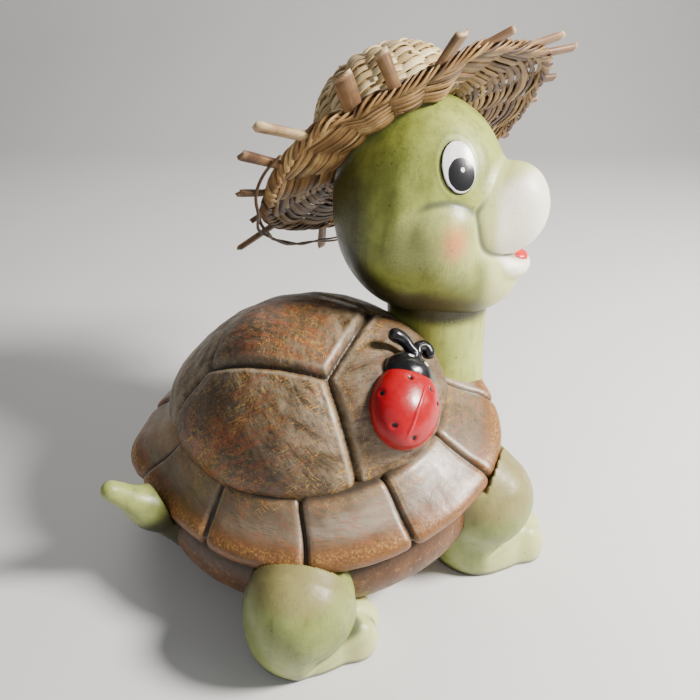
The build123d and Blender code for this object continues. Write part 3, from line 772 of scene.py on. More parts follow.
def makeLeg(name, side, end):
    hip, knee = np.array(leg[end + "Hip"], float), np.array(leg[end + "Knee"], float)
    if side < 0 and end == "rear":
        hip, knee = hip + leg["tuck"], knee + leg["tuck"]
    turn = math.radians(leg["turnOut"])
    ahead = np.array([math.cos(turn), math.sin(turn), 0])
    out = np.array([-math.sin(turn), math.cos(turn), 0])
    foot = np.array([knee[0] + leg["stepAhead"], knee[1] + leg["stepOut"], 0])

    def parts(p):
        # the leg, the foot's pad, and the place along the foot, across it and up
        q = np.stack([(p - foot) @ ahead, (p - foot) @ out, p[:, 2]], -1)
        shank = roundCone(p, hip, knee, leg["hipRadius"], leg["kneeRadius"])
        return shank, egg(q, leg["pad"], leg["padHalf"]), q

    def form(p):
        shank, pad, q = parts(p)
        pad = meet(pad, egg(q, leg["heel"], leg["heelHalf"]), leg["heelRun"])
        for k in (-1, 0, 1):
            tip = ringAt(leg["toeReach"], math.radians(leg["toeSpread"] * k), leg["toeUp"])
            pad = meet(pad, egg(q, tip, leg["toeHalf"]), leg["toeRun"])
        fold = smooth(*leg["fold"], q[:, 0])
        both = meet(shank, pad, leg["heelSoft"] * (1 - fold) + leg["foldWidth"])
        both = both + leg["foldDepth"] * fold * bell(shank - pad, leg["foldWidth"])
        both = both + 0.5 * lumps(p, 17, side + 2.0 * (end == "front"))
        both = np.maximum(both, -rimBlock(p, leg["rimClear"], side))
        return np.maximum(both, leg["ground"] - q[:, 2])

    ways, faces = ballMesh(7)
    core = leg["core"]
    points = castOut(form, foot + [0, 0, core[2]] + ahead * core[0], ways, leg["reach"])
    shank, pad, q = parts(points)
    along, across, up = q.T
    edge, high = shank - pad, points[:, 2]
    away = lumps(points, 21, 4.0)
    toe = smooth(8, 34, along + 3 * away)
    # painted shade in the gaps between the toes
    toeGapShade = sum(bell(np.degrees(np.arctan2(across, along)) - a, 3.4) for a in (-14.5, 14.5))
    toeGapShade = toeGapShade * smooth(24, 31, along) * smooth(24, 16, up)
    inner = -across - 0.55 * along
    onFoot = smooth(-1, 3, edge) * smooth(-16, -2, along)
    shade = 0.8 * smooth(8, 0.5, up) + 0.75 * smooth(8, 34, inner + 4 * away)
    fold = 0.9 * bell(edge, 1.8) * smooth(*leg["fold"], along) * smooth(5, 12, up)
    values = {
        "light": within(0.9 * onFoot + 0.55 * toe), "white": 0.30 * toe * onFoot,
        "blush": 0.10 * bell(high - 58, 7),
        "shade": within(shade + 0.35 * smooth(-16, -34, along + 4 * away)),
        "warm": 0.75 * smooth(44, 60, high + 4 * away),
        "crease": within(fold + 0.8 * toeGapShade + 0.35 * bell(edge - 5, 4) * onFoot),
    }
    placed = at(points[:, 0], points[:, 1] * side, high)
    return meshPiece(name, placed, faces if side < 0 else faces[:, ::-1], values)


# tail and neck

tail = {
    "root": (-84, -7, 24), "tip": (-128, -9, 77), "rootRadius": 16.0, "tipRadius": 5.5,
    "swellAlong": 40, "swellHalf": (11, 10, 12), "swellRun": 9, "clear": 115.0,
    "coreAlong": 46, "reach": 80,
}


def makeTail():
    root, tip = np.array(tail["root"], float), np.array(tail["tip"], float)
    way, far = unit(tip - root), float(size(tip - root))

    def form(p):
        body = roundCone(p, root, tip, tail["rootRadius"], tail["tipRadius"])
        swelling = egg(p, root + way * tail["swellAlong"], tail["swellHalf"])
        both = meet(body, swelling, tail["swellRun"]) + 0.4 * lumps(p, 13, 1.0)
        return np.maximum(both, -rimBlock(p, tail["clear"]))

    ways, faces = ballMesh(6)
    points = castOut(form, root + way * tail["coreAlong"], ways, tail["reach"])
    along = (points - root) @ way
    shade = 0.9 * smooth(far - 14, far - 40, along) + 0.3 * smooth(60, 44, points[:, 2])
    values = {
        "light": 0.22 * smooth(far - 22, far, along), "shade": within(shade),
        "warm": 0.3 * smooth(far - 20, far - 46, along),
    }
    return meshPiece("tailCone", at(*points.T), faces[:, ::-1], values)


# forward, right, up and radius of each section
neck = {"sections": (
    (84, 22, 52, 38), (84.4, 20.9, 70, 34.5), (84.8, 19.5, 90, 32), (85.2, 18, 112, 31),
    (85.6, 17, 132, 31.5), (86, 16, 154, 33), (86, 16, 166, 34))}


def makeNeck():
    line = curveThrough(neck["sections"], 70)
    i, t = grid(np.arange(len(line)), evenTurns(120))
    forward, right, up, radius = np.moveaxis(line[i], -1, 0)
    points = at(forward + radius * np.cos(t), right + radius * np.sin(t), up).reshape(-1, 3)
    outward = np.stack([-np.sin(t), -np.cos(t), 0 * t], -1).reshape(-1, 3)
    points = points + outward * (0.5 * lumps(points, 25, 2.0))[:, None]
    values = {
        "light": 0.12 + 0 * up, "warm": 0.35 * smooth(96, 80, up),
        "shade": within(0.75 * smooth(96, 72, up) + 0.9 * smooth(128, 142, up)),
    }
    return meshPiece("neckColumn", points, gridFaces(*i.shape), values)


# the head, in its own frame: forward, right, up from its middle

head = {
    "forward": 77.0, "right": 5.0, "up": 198.0, "turn": 60.5,
    "half": (52, 52, 64.5), "cheek": (15, 25, -4), "cheekRadius": 30,
    "muzzle": (37, 0, 0), "muzzleHalf": (25, 34, 27), "nose": (54, 0, 7),
    "noseHalf": (20.5, 20.5, 24.8), "noseRun": 11,
    "jaw": (27, 0, -33), "jawHalf": (36, 35, 28), "jawRun": 13,
    "lip": (49, 0, -27), "lipHalf": (19.5, 19, 9.5), "lipRun": 3.0,
    "tongue": (55.0, 0, -21.6), "tongueHalf": (11.5, 8.5, 4.2), "tongueGroove": 0.9,
    "core": (8.0, 0, -2.0), "reach": 98, "eyeReach": 96,
    "blush": (30.5, 42.5, -2.5), "blushHalf": (9.5, 9.0, 12.0), "noseTip": (62, 0, 2),
}
headCore = np.array(head["core"])
eyeMiddle = np.array(eyeShape["middle"], float)
eyeOut = unit(eyeMiddle / np.array(head["half"]) ** 2)
eyeUp = np.array([-7.3, -9.9, 23.6])
eyeUp = unit(eyeUp - (eyeUp @ eyeOut) * eyeOut)
eyeAcross = np.cross(eyeUp, eyeOut)


def onHead(q):
    turn = math.radians(head["turn"])
    c, s = math.cos(turn), math.sin(turn)
    ahead, right, up = np.moveaxis(q, -1, 0)
    return at(head["forward"] + (ahead * c - right * s), head["right"] + (ahead * s + right * c),
              head["up"] + up)


def folded(q):
    return np.stack([q[:, 0], np.abs(q[:, 1]), q[:, 2]], -1)


def snoutForm(q):
    muzzle = egg(q, head["muzzle"], head["muzzleHalf"])
    return meet(muzzle, egg(q, head["nose"], head["noseHalf"]), head["noseRun"])


def skullParts(q):
    return egg(q, (0, 0, 0), head["half"]), size(folded(q) - head["cheek"]) - head["cheekRadius"]


def skullForm(q):
    skull, cheek = skullParts(q)
    soft = 2.6 + 17 * smooth(4, -26, q[:, 2]) + 12 * smooth(18, 0, q[:, 0])
    body = meet(skull, cheek, soft)
    body = body + 0.7 * bell(skull - cheek, 1.7) * smooth(-6, 8, q[:, 2]) * smooth(2, 14, q[:, 0])
    return meet(body, egg(q, head["jaw"], head["jawHalf"]), head["jawRun"])


def eyeOff(q):
    # 1 on the eye's outline, less inside it
    away = folded(q) - eyeMiddle
    a = away @ eyeAcross / eyeShape["halfAcross"]
    b = away @ eyeUp / eyeShape["halfUp"]
    return np.sqrt(a * a + b * b) + 0.02 * np.maximum(-(away @ eyeOut) - 6, 0)


def headForm(q):
    body, snout = skullForm(q), snoutForm(q)
    # a thin crease below and beside the muzzle, none over the bridge of the nose
    high = smooth(10, 26, q[:, 2])
    both = meet(body, snout, 2.6 + 3 * high)
    both = both + 0.8 * bell(body - snout, 1.7) * (1 - 0.7 * high)
    both = meet(both, egg(q, head["lip"], head["lipHalf"]), head["lipRun"])
    return both - 0.12 * bell(eyeOff(q) - 1.12, 0.08) + 0.22 * lumps(q, 15, 1.0)


def headMasks(q):
    ahead, right, up = q.T
    right = np.abs(right)
    away = lumps(q, 24, 2.0)
    snout, body = snoutForm(q), skullForm(q)
    skull, cheek = skullParts(q)
    onSnout = smooth(3, -3, snout - body)
    noseFar = size(q - head["noseTip"]) + 3 * away
    onCheek = smooth(5, -2, cheek - skull) * smooth(-30, -6, up + 4 * away)
    # the far and under sides are shaded, seen along one slanting line
    low = smooth(-17, -40, up + 0.30 * ahead + 3 * away)
    back = smooth(-14, -38, 0.956 * ahead - 0.29 * right + 4 * away)
    lip = smooth(2.5, -1.0, egg(q, head["lip"], head["lipHalf"]))
    chin = smooth(30, 52, ahead - 0.3 * right) * smooth(-14, -28, up)
    # fold: painted shade in the creases round the cheek, along the snout and below the eye
    fold = 0.85 * bell(skull - cheek, 1.5) * (1 - onSnout) * smooth(-4, 10, up)
    fold = fold * smooth(6, 20, ahead)
    fold = np.maximum(fold, bell(body - snout, 1.7) * 0.9 * smooth(26, 10, up))
    fold = np.maximum(fold, 0.35 * bell(eyeOff(q) - 1.20, 0.05) * smooth(34, 24, up))
    light = 0.42 * onCheek + 0.95 * smooth(44, 26, noseFar) + 0.85 * chin + 0.25 * onSnout
    white = smooth(36, 22, noseFar) * smooth(34, 18, up - 0.25 * ahead + 10) + 0.55 * lip
    return {
        "light": within(light), "white": within(white),
        "blush": bell(size((folded(q) - head["blush"]) / head["blushHalf"]), 1.0),
        "shade": within(0.95 * low * (1 - 0.8 * chin) + 0.75 * back * smooth(58, 20, up)),
        "warm": 0.35 * smooth(-22, -40, up + 3 * away) * (1 - chin), "crease": within(fold),
    }


def makeHead():
    ways, faces = ballMesh(8)
    q = castOut(headForm, headCore, ways, head["reach"])
    return meshPiece("headSkin", onHead(q), faces[:, ::-1], headMasks(q))


def makeEye(name, side):
    # a low lens laid on the head, its edge turned down into the skin
    rings = np.concatenate([np.linspace(0.001, 0.82, 26), np.linspace(0.84, 1.0, 14)])
    row, t = grid(rings, evenTurns(96))
    a = (row * np.cos(t) * eyeShape["halfAcross"]).ravel()
    b = (row * np.sin(t) * eyeShape["halfUp"]).ravel()
    flat = eyeMiddle + a[:, None] * eyeAcross + b[:, None] * eyeUp
    skin = castOut(headForm, headCore, unit(flat - headCore), head["eyeReach"])
    g = row.ravel()
    rise = 1.25 - 1.9 * smooth(0.84, 1.0, g) ** 2 + 0.25 * (1 - g ** 2)
    q = (skin + eyeOut * rise[:, None]) * [1, side, 1]
    faces = gridFaces(*row.shape)
    faces = faces if side > 0 else faces[:, ::-1]
    return meshPiece(name, onHead(q), faces, {"across": a, "up": b})


def makeTongue():
    ways, faces = ballMesh(5)
    q = np.array(head["tongue"]) + ways * head["tongueHalf"]
    q[:, 2] -= head["tongueGroove"] * bell(q[:, 1], 2.0)
    return meshPiece("tongueLeaf", onHead(q), faces[:, ::-1], {})


# the ladybird, in its own frame: ahead, across, out

def bugFrame():
    place = (domeMiddle + bugWay * shell["domeRadius"]) * stretch
    out = unit(bugWay / stretch)
    uphill = unit(np.array([0, 0, 1]) - out * out[2])
    turn = math.radians(bug["heading"])
    ahead = uphill * math.cos(turn) + np.cross(uphill, out) * math.sin(turn)
    roll = np.array([[1, 0, 0], [0, tiltCos, tiltSin], [0, -tiltSin, tiltCos]])
    ahead, out = roll @ ahead, roll @ out
    return roll @ place + [0, middleBack, shell["height"]], np.stack(
        [ahead, np.cross(out, ahead), out])


bugOrigin, bugAxes = bugFrame()


def bugPiece(name, q, faces, **masks):
    masks = {key: masks.get(key, np.zeros(len(q))) for key in ("pit", "dot")}
    return meshPiece(name, bugOrigin + q @ bugAxes, faces, masks)


def makeBugBack():
    ways, faces = ballMesh(7)
    half = np.array(bug["half"])
    q = ways * half
    away = q[:, 1] - np.interp(q[:, 0], *np.array(bug["wingLine"]).T)
    ridge = bell(away, 0.8) * smooth(12, 6, q[:, 0]) * smooth(-21, -15, q[:, 0])
    pit = np.zeros(len(q))
    for place in bug["pits"]:
        spot = unit((np.array(place) - [0, 0, bug["lift"]]) / half) * half
        pit = np.maximum(pit, bell(size(q - spot), 1.6))
    out = 0.50 * ridge * smooth(0.2, 2, q[:, 2]) - 1.1 * pit + 0.18 * lumps(q, 9, 3.0)
    q = q * (1 + out / size(q))[:, None] + [0, 0, bug["lift"]]
    old, faces = keepFaces(faces, q[:, 2] > -7)
    return bugPiece("bugBack", q[old], faces, pit=pit[old])


def makeBugHead():
    ways, faces = ballMesh(6)
    middle, half = np.array(bug["headMiddle"]), np.array(bug["headHalf"])
    q = ways * half + middle
    q = q + ways * (0.25 * lumps(q, 8, 1.0))[:, None]
    spots = [middle + unit((np.array(dot) - middle) / half) * half for dot in bug["dots"]]
    dot = np.max([size(q - spot) < bug["dotRadius"] for spot in spots], axis=0)
    old, faces = keepFaces(faces, q[:, 2] > -6)
    return bugPiece("bugHead", q[old], faces, dot=dot[old])


def makeFeelers():
    # two round bars with their ends drawn in
    points, faces, count, rows, sides = [], [], 0, 44, 14
    share = np.linspace(0, 1, rows)
    t = evenTurns(sides)[None, :, None]
    for wide, places in bug["feelers"]:
        line = curveThrough(places, rows)
        radius = np.sqrt(within(1 - (2 * share - 1) ** 8)) * wide
        radius = radius * (0.8 + 0.25 * smooth(0.3, 0.9, share))
        way = unit(np.gradient(line, axis=0))
        side = unit(np.cross(way, [0.31, 0.52, 0.8]))
        ring = side[:, None] * np.cos(t) + np.cross(side, way)[:, None] * np.sin(t)
        points.append((line[:, None] + ring * radius[:, None, None]).reshape(-1, 3))
        faces.append(gridFaces(rows, sides) + count)
        count += rows * sides
    return bugPiece("bugFeelers", np.vstack(points), np.vstack(faces))


# the hat, in its own frame: x uphill along the brim, y ahead, z out of the crown

hat = {
    "origin": (19.435, middleBack - 80.0, 234.376), "crownScale": 0.94, "crownCount": 400,
    "innerClear": 1.4, "rounds": 12, "crownRounds": 14, "warps": 19, "firstWarp": 5.6,
    "strandThick": 1.2, "ride": 1.6, "edgeHeight": -6.0, "innerHeight": -2.0, "innerDrop": -8.0,
    "dropFrom": (-140, -112), "dropTo": (12, -12), "edgeRoom": 4.5,
    # the brim's outline: turn and radius
    "edge": (
        (-180, 99), (-165, 99), (-145, 98), (-125, 94), (-112, 89), (-99, 88), (-89, 87),
        (-79, 87), (-62, 87), (-55, 77), (-49, 79), (-38, 74), (-27, 73), (-19, 74), (-11, 77),
        (-2, 82), (18, 83.5), (25, 87), (40, 92), (52, 94.6), (68, 93.6), (81, 96.8), (97, 98),
        (130, 97), (180, 99)),
    # the crown's outline: radius and height
    "crown": ((47.6, -1.5), (48.0, 6), (47.0, 16), (44.5, 26), (40.0, 34.5), (33.0, 41.5),
              (24.0, 46.3), (13.0, 48.8), (2.0, 49.6)),
}
hatOut = np.array([1, 0, 1]) / math.sqrt(2)
hatAxes = np.stack([np.array([-1, 0, 1]) / math.sqrt(2), np.array([0, -1, 0]), hatOut])
firstWarp = math.radians(hat["firstWarp"])


def edgeRadius(turn):
    return np.interp(wrapped(np.degrees(turn)), *np.array(hat["edge"], float).T)


def innerHeight(turn):
    t = wrapped(np.degrees(turn))
    drop = smooth(*hat["dropFrom"], t) * smooth(*hat["dropTo"], t)
    return hat["innerHeight"] + hat["innerDrop"] * drop


def innerRadius(turn):
    # how far from the hat's middle the head's surface lies, and a little more
    turn, height = np.broadcast_arrays(turn, innerHeight(turn))
    half = np.array(head["half"], float)
    start = np.array(hat["origin"]) + height[..., None] * hatOut
    start = (start - at(head["forward"], head["right"], head["up"])) / half
    way = (np.cos(turn)[..., None] * hatAxes[0] + np.sin(turn)[..., None] * hatAxes[1]) / half
    a, b, c = (np.sum(u * v, -1) for u, v in ((way, way), (way, start), (start, start)))
    return (-b + np.sqrt(np.maximum(b * b - a * (c - 1), 0))) / a + hat["innerClear"]


def brimHeight(radius, turn):
    inner = innerRadius(turn)
    share = within((radius - inner) / (edgeRadius(turn) - inner))
    wave = 0.9 * np.sin(2 * turn + 0.6) + 0.7 * np.sin(5 * turn + 2.0)
    return innerHeight(turn) * (1 - share) + hat["edgeHeight"] * share + wave * share


def nearShare(turn):
    # one where the brim faces the camera, none on the far side
    t = wrapped(np.degrees(turn))
    return smooth(-175, -120, t) * smooth(40, -10, t)


def warpTurns():
    return [firstWarp + fullTurn * k / hat["warps"] for k in range(hat["warps"])]


def flatOut(t):
    return np.broadcast_to([0, 0, 1.0], (len(t), 3))


dice = np.random.default_rng(41)
# cross sections, and how their two ways spread the fibres
strandShape = ((-1, 0), (-0.82, 0.72), (0, 1), (0.82, 0.72), (1, 0), (0.82, -0.72), (0, -1),
               (-0.82, -0.72), (2.0, 0.3))
splintShape = ((-1, -0.9), (-0.96, 1), (0.2, 0.86), (1, 0.9), (0.94, -0.8), (-0.1, -1),
               (2.2, 0.5))


class Weave:
    # strands gathered into one mesh
    def __init__(self, shape=strandShape):
        *ring, self.fibres = np.array(shape)
        self.shape = np.array(ring)
        self.points, self.faces, self.count = [], [], 0
        self.values = {"tint": [], "along": [], "across": [], "deep": []}

    def add(self, line, out, wide, thick, tint, deep=0.0, ragged=None):
        # a strand along a line; out is which way its face looks
        n, sides = len(line), len(self.shape)
        a, b = self.shape.T[:, None, :, None]
        way = unit(np.gradient(line, axis=0))
        side = unit(np.cross(out, way))
        ring = line[:, None] + side[:, None] * (a * np.broadcast_to(wide, n)[:, None, None] / 2)
        ring = ring + np.cross(way, side)[:, None] * (b * thick / 2)
        if ragged:
            # the broken end
            ring[-1] += way[-1] * dice.uniform(*ragged, (sides, 1))
        self.points.append(ring.reshape(-1, 3))
        self.faces += (gridFaces(n, sides) + self.count).tolist()
        self.faces.append([self.count + k for k in range(sides)][::-1])
        self.faces.append([self.count + (n - 1) * sides + k for k in range(sides)])
        across = self.shape @ self.fibres
        for key, value in (("tint", np.broadcast_to(tint, n)[:, None]), ("across", across),
                           ("along", lengthsAlong(line)[:, None]), ("deep", deep)):
            self.values[key].append(np.broadcast_to(value, (n, sides)).ravel())
        self.count += n * sides

    def piece(self, name):
        values = {key: np.concatenate(parts) for key, parts in self.values.items()}
        points = np.array(hat["origin"]) + np.vstack(self.points) @ hatAxes
        return meshPiece(name, points, self.faces, values)


def cutStrand(weave, turns, spotAt, outAt, wideAt, thick, paleAt, shadeAt):
    # a long run of straw made of shorter pieces, each with its own tint, lapping at the ends
    fewest, lap = 10, 6
    start = 0
    while start < len(turns) - fewest - 2:
        length = int(dice.integers(60, 190))
        part = turns[start:min(start + length + lap, len(turns))]
        if len(part) < fewest:
            break
        share = np.linspace(0, 1, len(part))
        ends = np.minimum(smooth(0, 0.05, share), smooth(1, 0.95, share))
        wide = wideAt(part) * dice.uniform(0.75, 1.2) * (0.55 + 0.45 * ends)
        wide = wide * (1 + 0.10 * np.sin(share * dice.uniform(10, 30) + dice.uniform(0, 6)))
        lift = dice.uniform(-0.35, 0.35) + (1 - ends) * dice.uniform(0.0, 1.2)
        line = spotAt(part) + outAt(part) * lift[:, None]
        tint = float(within(dice.normal(float(np.mean(paleAt(part))), 0.22)))
        weave.add(line, outAt(part), wide, thick * dice.uniform(0.8, 1.2), tint,
                  shadeAt(part)[:, None])
        start += length


def none(t):
    return 0 * t


def makeBrim():
    weave = Weave()
    rounds, half, room = hat["rounds"], hat["warps"] / 2, hat["edgeRoom"]
    turns = np.arange(0, rounds * fullTurn, fullTurn / 190)
    for phase, edge in ((0.0, 1), (math.pi, -1)):
        def spotAt(t):
            inner = innerRadius(t)
            radius = inner + 1.5 + (edgeRadius(t) - room - inner) * (t / (rounds * fullTurn))
            radius = radius + edge * 0.9 * np.sin(half * (t - firstWarp)) + 0.5 * np.sin(t * 3.7)
            up = brimHeight(radius, t) + hat["ride"] * np.cos(half * (t - firstWarp) + phase)
            return ringAt(radius, t, up)

        def wideAt(t):
            spare = (edgeRadius(t) - room - innerRadius(t)) / rounds
            return np.clip(spare * (0.80 + 0.45 * nearShare(t)), 1.3, 3.6)

        # strands are paler where the brim faces the camera, as painted light, and darker on the
        # far side, as painted shade
        cutStrand(weave, turns, spotAt, flatOut, wideAt, hat["strandThick"],
                  lambda t: 0.26 + 0.34 * nearShare(t), lambda t: 0.35 * (1 - nearShare(t)))
    # flat warps under the weft, from the head out to the edge
    for turn in warpTurns():
        r = np.linspace(float(innerRadius(turn)) + 1, float(edgeRadius(turn)) - 1, 14)
        line = ringAt(r, turn, brimHeight(r, turn))
        # the warps too are paler on the near side: painted light
        weave.add(line, flatOut(r), 5.5, 1.3, 0.16 + 0.3 * float(nearShare(turn)))
    return weave.piece("brimWeave")


def makeCrown():
    weave = Weave()
    rounds, half, sink = hat["crownRounds"], hat["warps"] / 2, 1.6
    line = curveThrough([(r, z * hat["crownScale"]) for r, z in hat["crown"]], hat["crownCount"])
    far = np.linspace(0, 1, hat["crownCount"])
    slope = unit(np.gradient(line, axis=0))
    turns = np.arange(0, rounds * fullTurn, fullTurn / 150)

    def profile(t):
        return [np.interp(t / (rounds * fullTurn), far, column)
                for column in (line[:, 0], line[:, 1], slope[:, 1], -slope[:, 0])]

    def outAt(t):
        _, _, outward, upward = profile(t)
        return unit(ringAt(outward, t, upward))

    for phase, edge in ((0.0, 1), (math.pi, -1)):
        def spotAt(t):
            r, z, outward, upward = profile(t)
            weft = hat["ride"] * np.cos(half * (t - firstWarp) + phase) * np.clip(r / 26, 0.15, 1)
            slide = edge * 0.8 * np.sin(half * (t - firstWarp)) * outward
            return ringAt(r + outward * (weft - sink), t, z + upward * (weft - sink) + slide)

        cutStrand(weave, turns, spotAt, outAt, lambda t: 4.0 + 0 * t, hat["strandThick"],
                  lambda t: 0.70 + 0 * t, none)
    r, z = line[::8].T
    for turn in warpTurns():
        rib = ringAt(np.maximum(r - sink, 3), turn, z - 1.4)
        out = unit(ringAt(slope[::8, 1], turn, -slope[::8, 0]))
        wide = np.clip(np.maximum(r - sink, 3) / 48 * 8.0, 1.2, 8.0)
        weave.add(rib, out, wide, 1.4, 0.25)
    return weave.piece("crownWeave")


border = {
    "strands": 6, "twists": 16, "inset": 2.4, "swingOut": 2.7, "swingUp": 2.6, "stagger": 0.9,
    # where the loose lashing hangs off the edge: turn, radius, height
    "loops": (
        ((-80, 96, -8), (-90, 97, -9), (-103, 97, -10), (-118, 98, -11), (-131, 100.7, -12),
         (-144, 103, -12), (-158, 106, -13), (-170, 108, -14), (178, 108, -15), (168, 102, -12)),
        ((-112, 92, -7), (-125, 96, -9), (-138, 101, -12), (-151, 105, -12), (-164, 104, -14),
         (-177, 103, -16), (170, 99, -12)),
    ),
}


def makeBorder():
    # the edge is bound with long loose turns of straw, and one lashing has come away
    weave = Weave()
    turns = np.arange(0, fullTurn + 0.2, fullTurn / 260)
    for k in range(border["strands"]):
        def spotAt(t):
            twist = border["twists"] * t + k * fullTurn / border["strands"]
            edge = edgeRadius(t) - border["inset"]
            up = brimHeight(edge, t) + border["swingUp"] * np.sin(twist)
            return ringAt(edge + border["swingOut"] * np.cos(twist), t, up)

        # the border is paler on the near side: painted light
        cutStrand(weave, turns + border["stagger"] * k, spotAt, flatOut,
                  lambda t: 2.6 + 0.9 * nearShare(t), 1.3,
                  lambda t: 0.30 + 0.28 * nearShare(t), none)
    for loop in border["loops"]:
        turn, r, up = np.array(loop, float).T
        line = curveThrough(ringAt(r, np.unwrap(np.radians(turn)), up), 120)
        sway = np.linspace(0, 9, 120)
        line = line + np.stack(
            [0.8 * np.sin(sway * 3), 0.8 * np.cos(sway * 2.3), 1.2 * np.sin(sway * 2)], -1)
        # the loose lashings are darkened with painted shade
        weave.add(line, flatOut(line), 2.0, 1.2, 0.2, 0.35)
    return weave.piece("borderTwine")


# each splint end: turn and radius where it leaves the edge and at its tip, tip's height,
# width, tint
splints = (
    (-72.3, 78.2, -69.8, 123.7, -5.5, 5.5, 0.82), (-89.3, 84.3, -79.6, 118.7, -6.5, 5.5, 0.34),
    (-105.9, 91.6, -100.2, 106.3, -6, 4.4, 0.25), (-126.2, 95.1, -126.2, 103.2, -6, 3.6, 0.22),
    (-144.3, 101.7, -141.1, 126.4, -6.5, 6.0, 0.40), (-172.2, 93.5, 179.0, 132.0, -9.0, 5.5, 0.28),
    (-54.5, 75.3, -49.2, 109.0, -5.0, 10.0, 0.36), (-37.4, 76.5, -39.0, 108.2, -5.0, 7.0, 0.55),
    (-17.1, 73.4, -15.2, 95.5, -5.5, 7.5, 0.50), (-0.9, 77.6, 7.0, 92.2, -5.5, 6.5, 0.58),
    (23.8, 80.5, 35.0, 101.3, -5.5, 6.0, 0.55), (40.5, 88.9, 48.4, 108.6, -6, 5.5, 0.45),
    (63.0, 92.2, 64.4, 103.5, -6, 5.5, 0.40), (77.0, 92.0, 77.0, 101.0, -6, 4.0, 0.30),
    (98.0, 96.0, 100.2, 112.0, -6, 5.0, 0.34), (118, 96, 119, 108, -6, 6.0, 0.30),
    (136, 96, 135, 110, -6, 6.5, 0.36), (152, 96, 153, 106, -6, 6.0, 0.28),
    (166, 96, 165, 109, -7, 6.0, 0.40),
)


def makeStakes():
    # split wood, flat and angular, hidden under the weave as far as the edge
    weave = Weave(splintShape)
    # the splints' undersides are darkened with painted shade
    deep = np.where(weave.shape[:, 1] < 0, 0.45, 0.0)
    for rootTurn, rootRadius, tipTurn, tipRadius, tipHeight, wide, tint in splints:
        turn = np.unwrap(np.radians([rootTurn, rootTurn, tipTurn]))
        start = float(innerRadius(turn[0])) + 3
        heights = np.array([float(brimHeight(start, turn[0])),
                            float(brimHeight(rootRadius, turn[0])) + 0.8, tipHeight])
        places = ringAt(np.array([start, rootRadius, tipRadius]), turn, heights)
        line = np.vstack([np.linspace(places[0], places[1], 8, endpoint=False),
                          np.linspace(places[1], places[2], 12)])
        along = lengthsAlong(line)
        toTip = along - along[-1]
        width = wide * (1 + 0.05 * np.sin(along * 0.13 + rootTurn))
        width = width * (1 - 0.10 * smooth(-4, 0, toTip))
        pale = within(tint + 0.45 * smooth(-1.0, 0, toTip))
        weave.add(line, flatOut(line), width, 2.3, pale, deep, (-1.6, 1.2))
    return weave.piece("stakeSlats")


shellMat, rimMat, bellyMat = makeShellPaint(), makeRimPaint(), makeBellyPaint()
headMat, neckMat, legMat, tailMat = (
    makeSkinPaint(name + "Paint") for name in ("head", "neck", "legs", "tail"))
crimson, black, tongueRed = (
    makeGlossPaint(name) for name in ("bugCrimson", "bugBlack", "tongueRed"))
straw, crownStraw, wood = (
    makeStrawPaint(name) for name in ("strawPaint", "crownStraw", "splintWood"))
eyeMat = makeEyePaint()
print("materials made")


def finishPiece(piece, mat, body, slotName, *nodes):
    piece.data.materials.append(mat)
    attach(piece, body)
    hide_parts(*nodes)


finishPiece(makeDome(), shellMat, "figure", "shell_paint", "carapace_dome")
finishPiece(makeRim(), rimMat, "figure", "rim_plate_paint", "marginal_plates", "rim_ring")
print("shell made")
sides = (("right", 1), ("left", -1))
for end in ("front", "rear"):
    for sideName, side in sides:
        label = end.capitalize() + sideName.capitalize()
        finishPiece(makeLeg("leg" + label, side, end), legMat, "figure", "skin_paint",
                    f"leg_{end}_{sideName}", f"foot_{end}_{sideName}")
finishPiece(makeTail(), tailMat, "figure", "skin_paint", "tail")
finishPiece(makeNeck(), neckMat, "figure", "neck_paint", "neck")
print("legs, tail and neck made")
finishPiece(makeHead(), headMat, "figure", "head_paint", "head", "nose", "lower_lip")
for sideName, side in sides:
    finishPiece(makeEye("eye" + sideName.capitalize(), side), eyeMat, "figure", "eye_glaze",
                f"eye_{sideName}", f"pupil_{sideName}")
finishPiece(makeTongue(), tongueRed, "figure", "tongue_paint", "tongue")
print("head made")
finishPiece(makeBugBack(), crimson, "figure", "wing_case_glaze", "ladybird_wing_cases")
finishPiece(makeBugHead(), black, "figure", "black_glaze", "ladybird_head")
finishPiece(makeFeelers(), black, "figure", "black_glaze", "ladybird_feelers")
print("ladybird made")
finishPiece(makeBrim(), straw, "hat", "straw", "hat_brim")
finishPiece(makeCrown(), crownStraw, "hat", "straw", "hat_crown")
finishPiece(makeBorder(), straw, "hat", "twined_border", "hat_border")
finishPiece(makeStakes(), wood, "hat", "splint_wood", "hat_stakes")
print("hat woven")
finishPiece(makeBowl(), bellyMat, "figure", "belly_clay", "plastron")


# studio: pale floor, soft light, the photograph's camera, all in metres

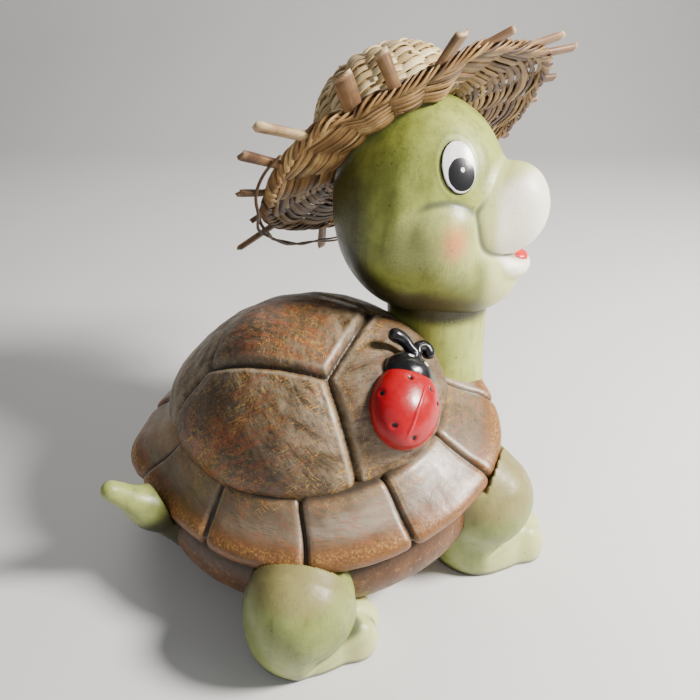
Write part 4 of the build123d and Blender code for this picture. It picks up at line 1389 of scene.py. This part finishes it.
studio = {
    "floor": (0.74, 0.73, 0.71), "near": -2.2, "bend": 0.9, "bendRadius": 0.5, "top": 3.0,
    "halfWidth": 4.0, "camera": (-0.28185, 0.21544, 0.328), "look": (0.6786, -0.5207, -0.5180),
    "lens": 33.943, "world": (0.80, 0.84, 0.90), "worldStrength": 0.20,
    # name, place, aim, size, power, colour
    "lights": (
        ("keyLight", (-0.62, -0.52, 0.74), (0, -0.03, 0.15), 0.24, 34.0, (1.0, 0.965, 0.92)),
        ("fillLight", (-0.55, 0.75, 0.55), (0, 0, 0.12), 0.9, 1.4, (0.93, 0.96, 1.0)),
        ("rimLight", (0.75, -0.3, 0.85), (0, 0, 0.2), 0.6, 3.0, (1.0, 0.98, 0.95)),
    ),
}


def aimed(name, data, place, way):
    item = bpy.data.objects.new(name, data)
    item.location = place
    item.rotation_mode = "QUATERNION"
    item.rotation_quaternion = Vector(way).to_track_quat("-Z", "Y")
    bpy.context.scene.collection.objects.link(item)
    return item


def makeFloor():
    # a floor that bends up into a backdrop, standing across the camera's view
    bend, r = studio["bend"], studio["bendRadius"]
    line = [(bend + r * math.sin(a), r - r * math.cos(a)) for a in np.linspace(0, math.pi / 2, 16)]
    line = [(studio["near"], 0), *line, (bend + r, studio["top"])]
    way = Vector(studio["look"][:2]).normalized()
    points = [(way.x * along - way.y * across, way.y * along + way.x * across, up)
              for along, up in line for across in (-studio["halfWidth"], studio["halfWidth"])]
    faces = [(k, k + 1, k + 3, k + 2) for k in range(0, len(points) - 2, 2)]
    mesh = bpy.data.meshes.new("studioFloor")
    mesh.from_pydata(points, [], faces)
    floor = linked("studioFloor", mesh)
    p = Paint("floorPaint")
    p.ground(p.noise(60, 3), studio["floor"], darker(studio["floor"], 0.96))
    floor.data.materials.append(p.done(None, Roughness=0.62))


makeFloor()
for name, place, aim, lampSize, power, colour in studio["lights"]:
    lamp = bpy.data.lights.new(name, "AREA")
    lamp.shape = "DISK"
    lamp.size = lampSize
    lamp.energy = power
    lamp.color = colour
    aimed(name, lamp, place, Vector(aim) - Vector(place))
world = bpy.data.worlds.new("studioWorld")
world.use_nodes = True
sky = world.node_tree.nodes["Background"]
sky.inputs[0].default_value = (*studio["world"], 1)
sky.inputs[1].default_value = studio["worldStrength"]
bpy.context.scene.world = world

lens = bpy.data.cameras.new("photoCamera")
lens.lens = studio["lens"]
lens.sensor_width = 36
lens.clip_start = 0.02
lens.clip_end = 20
bpy.context.scene.camera = aimed("photoCamera", lens, studio["camera"], studio["look"])
print("studio set")
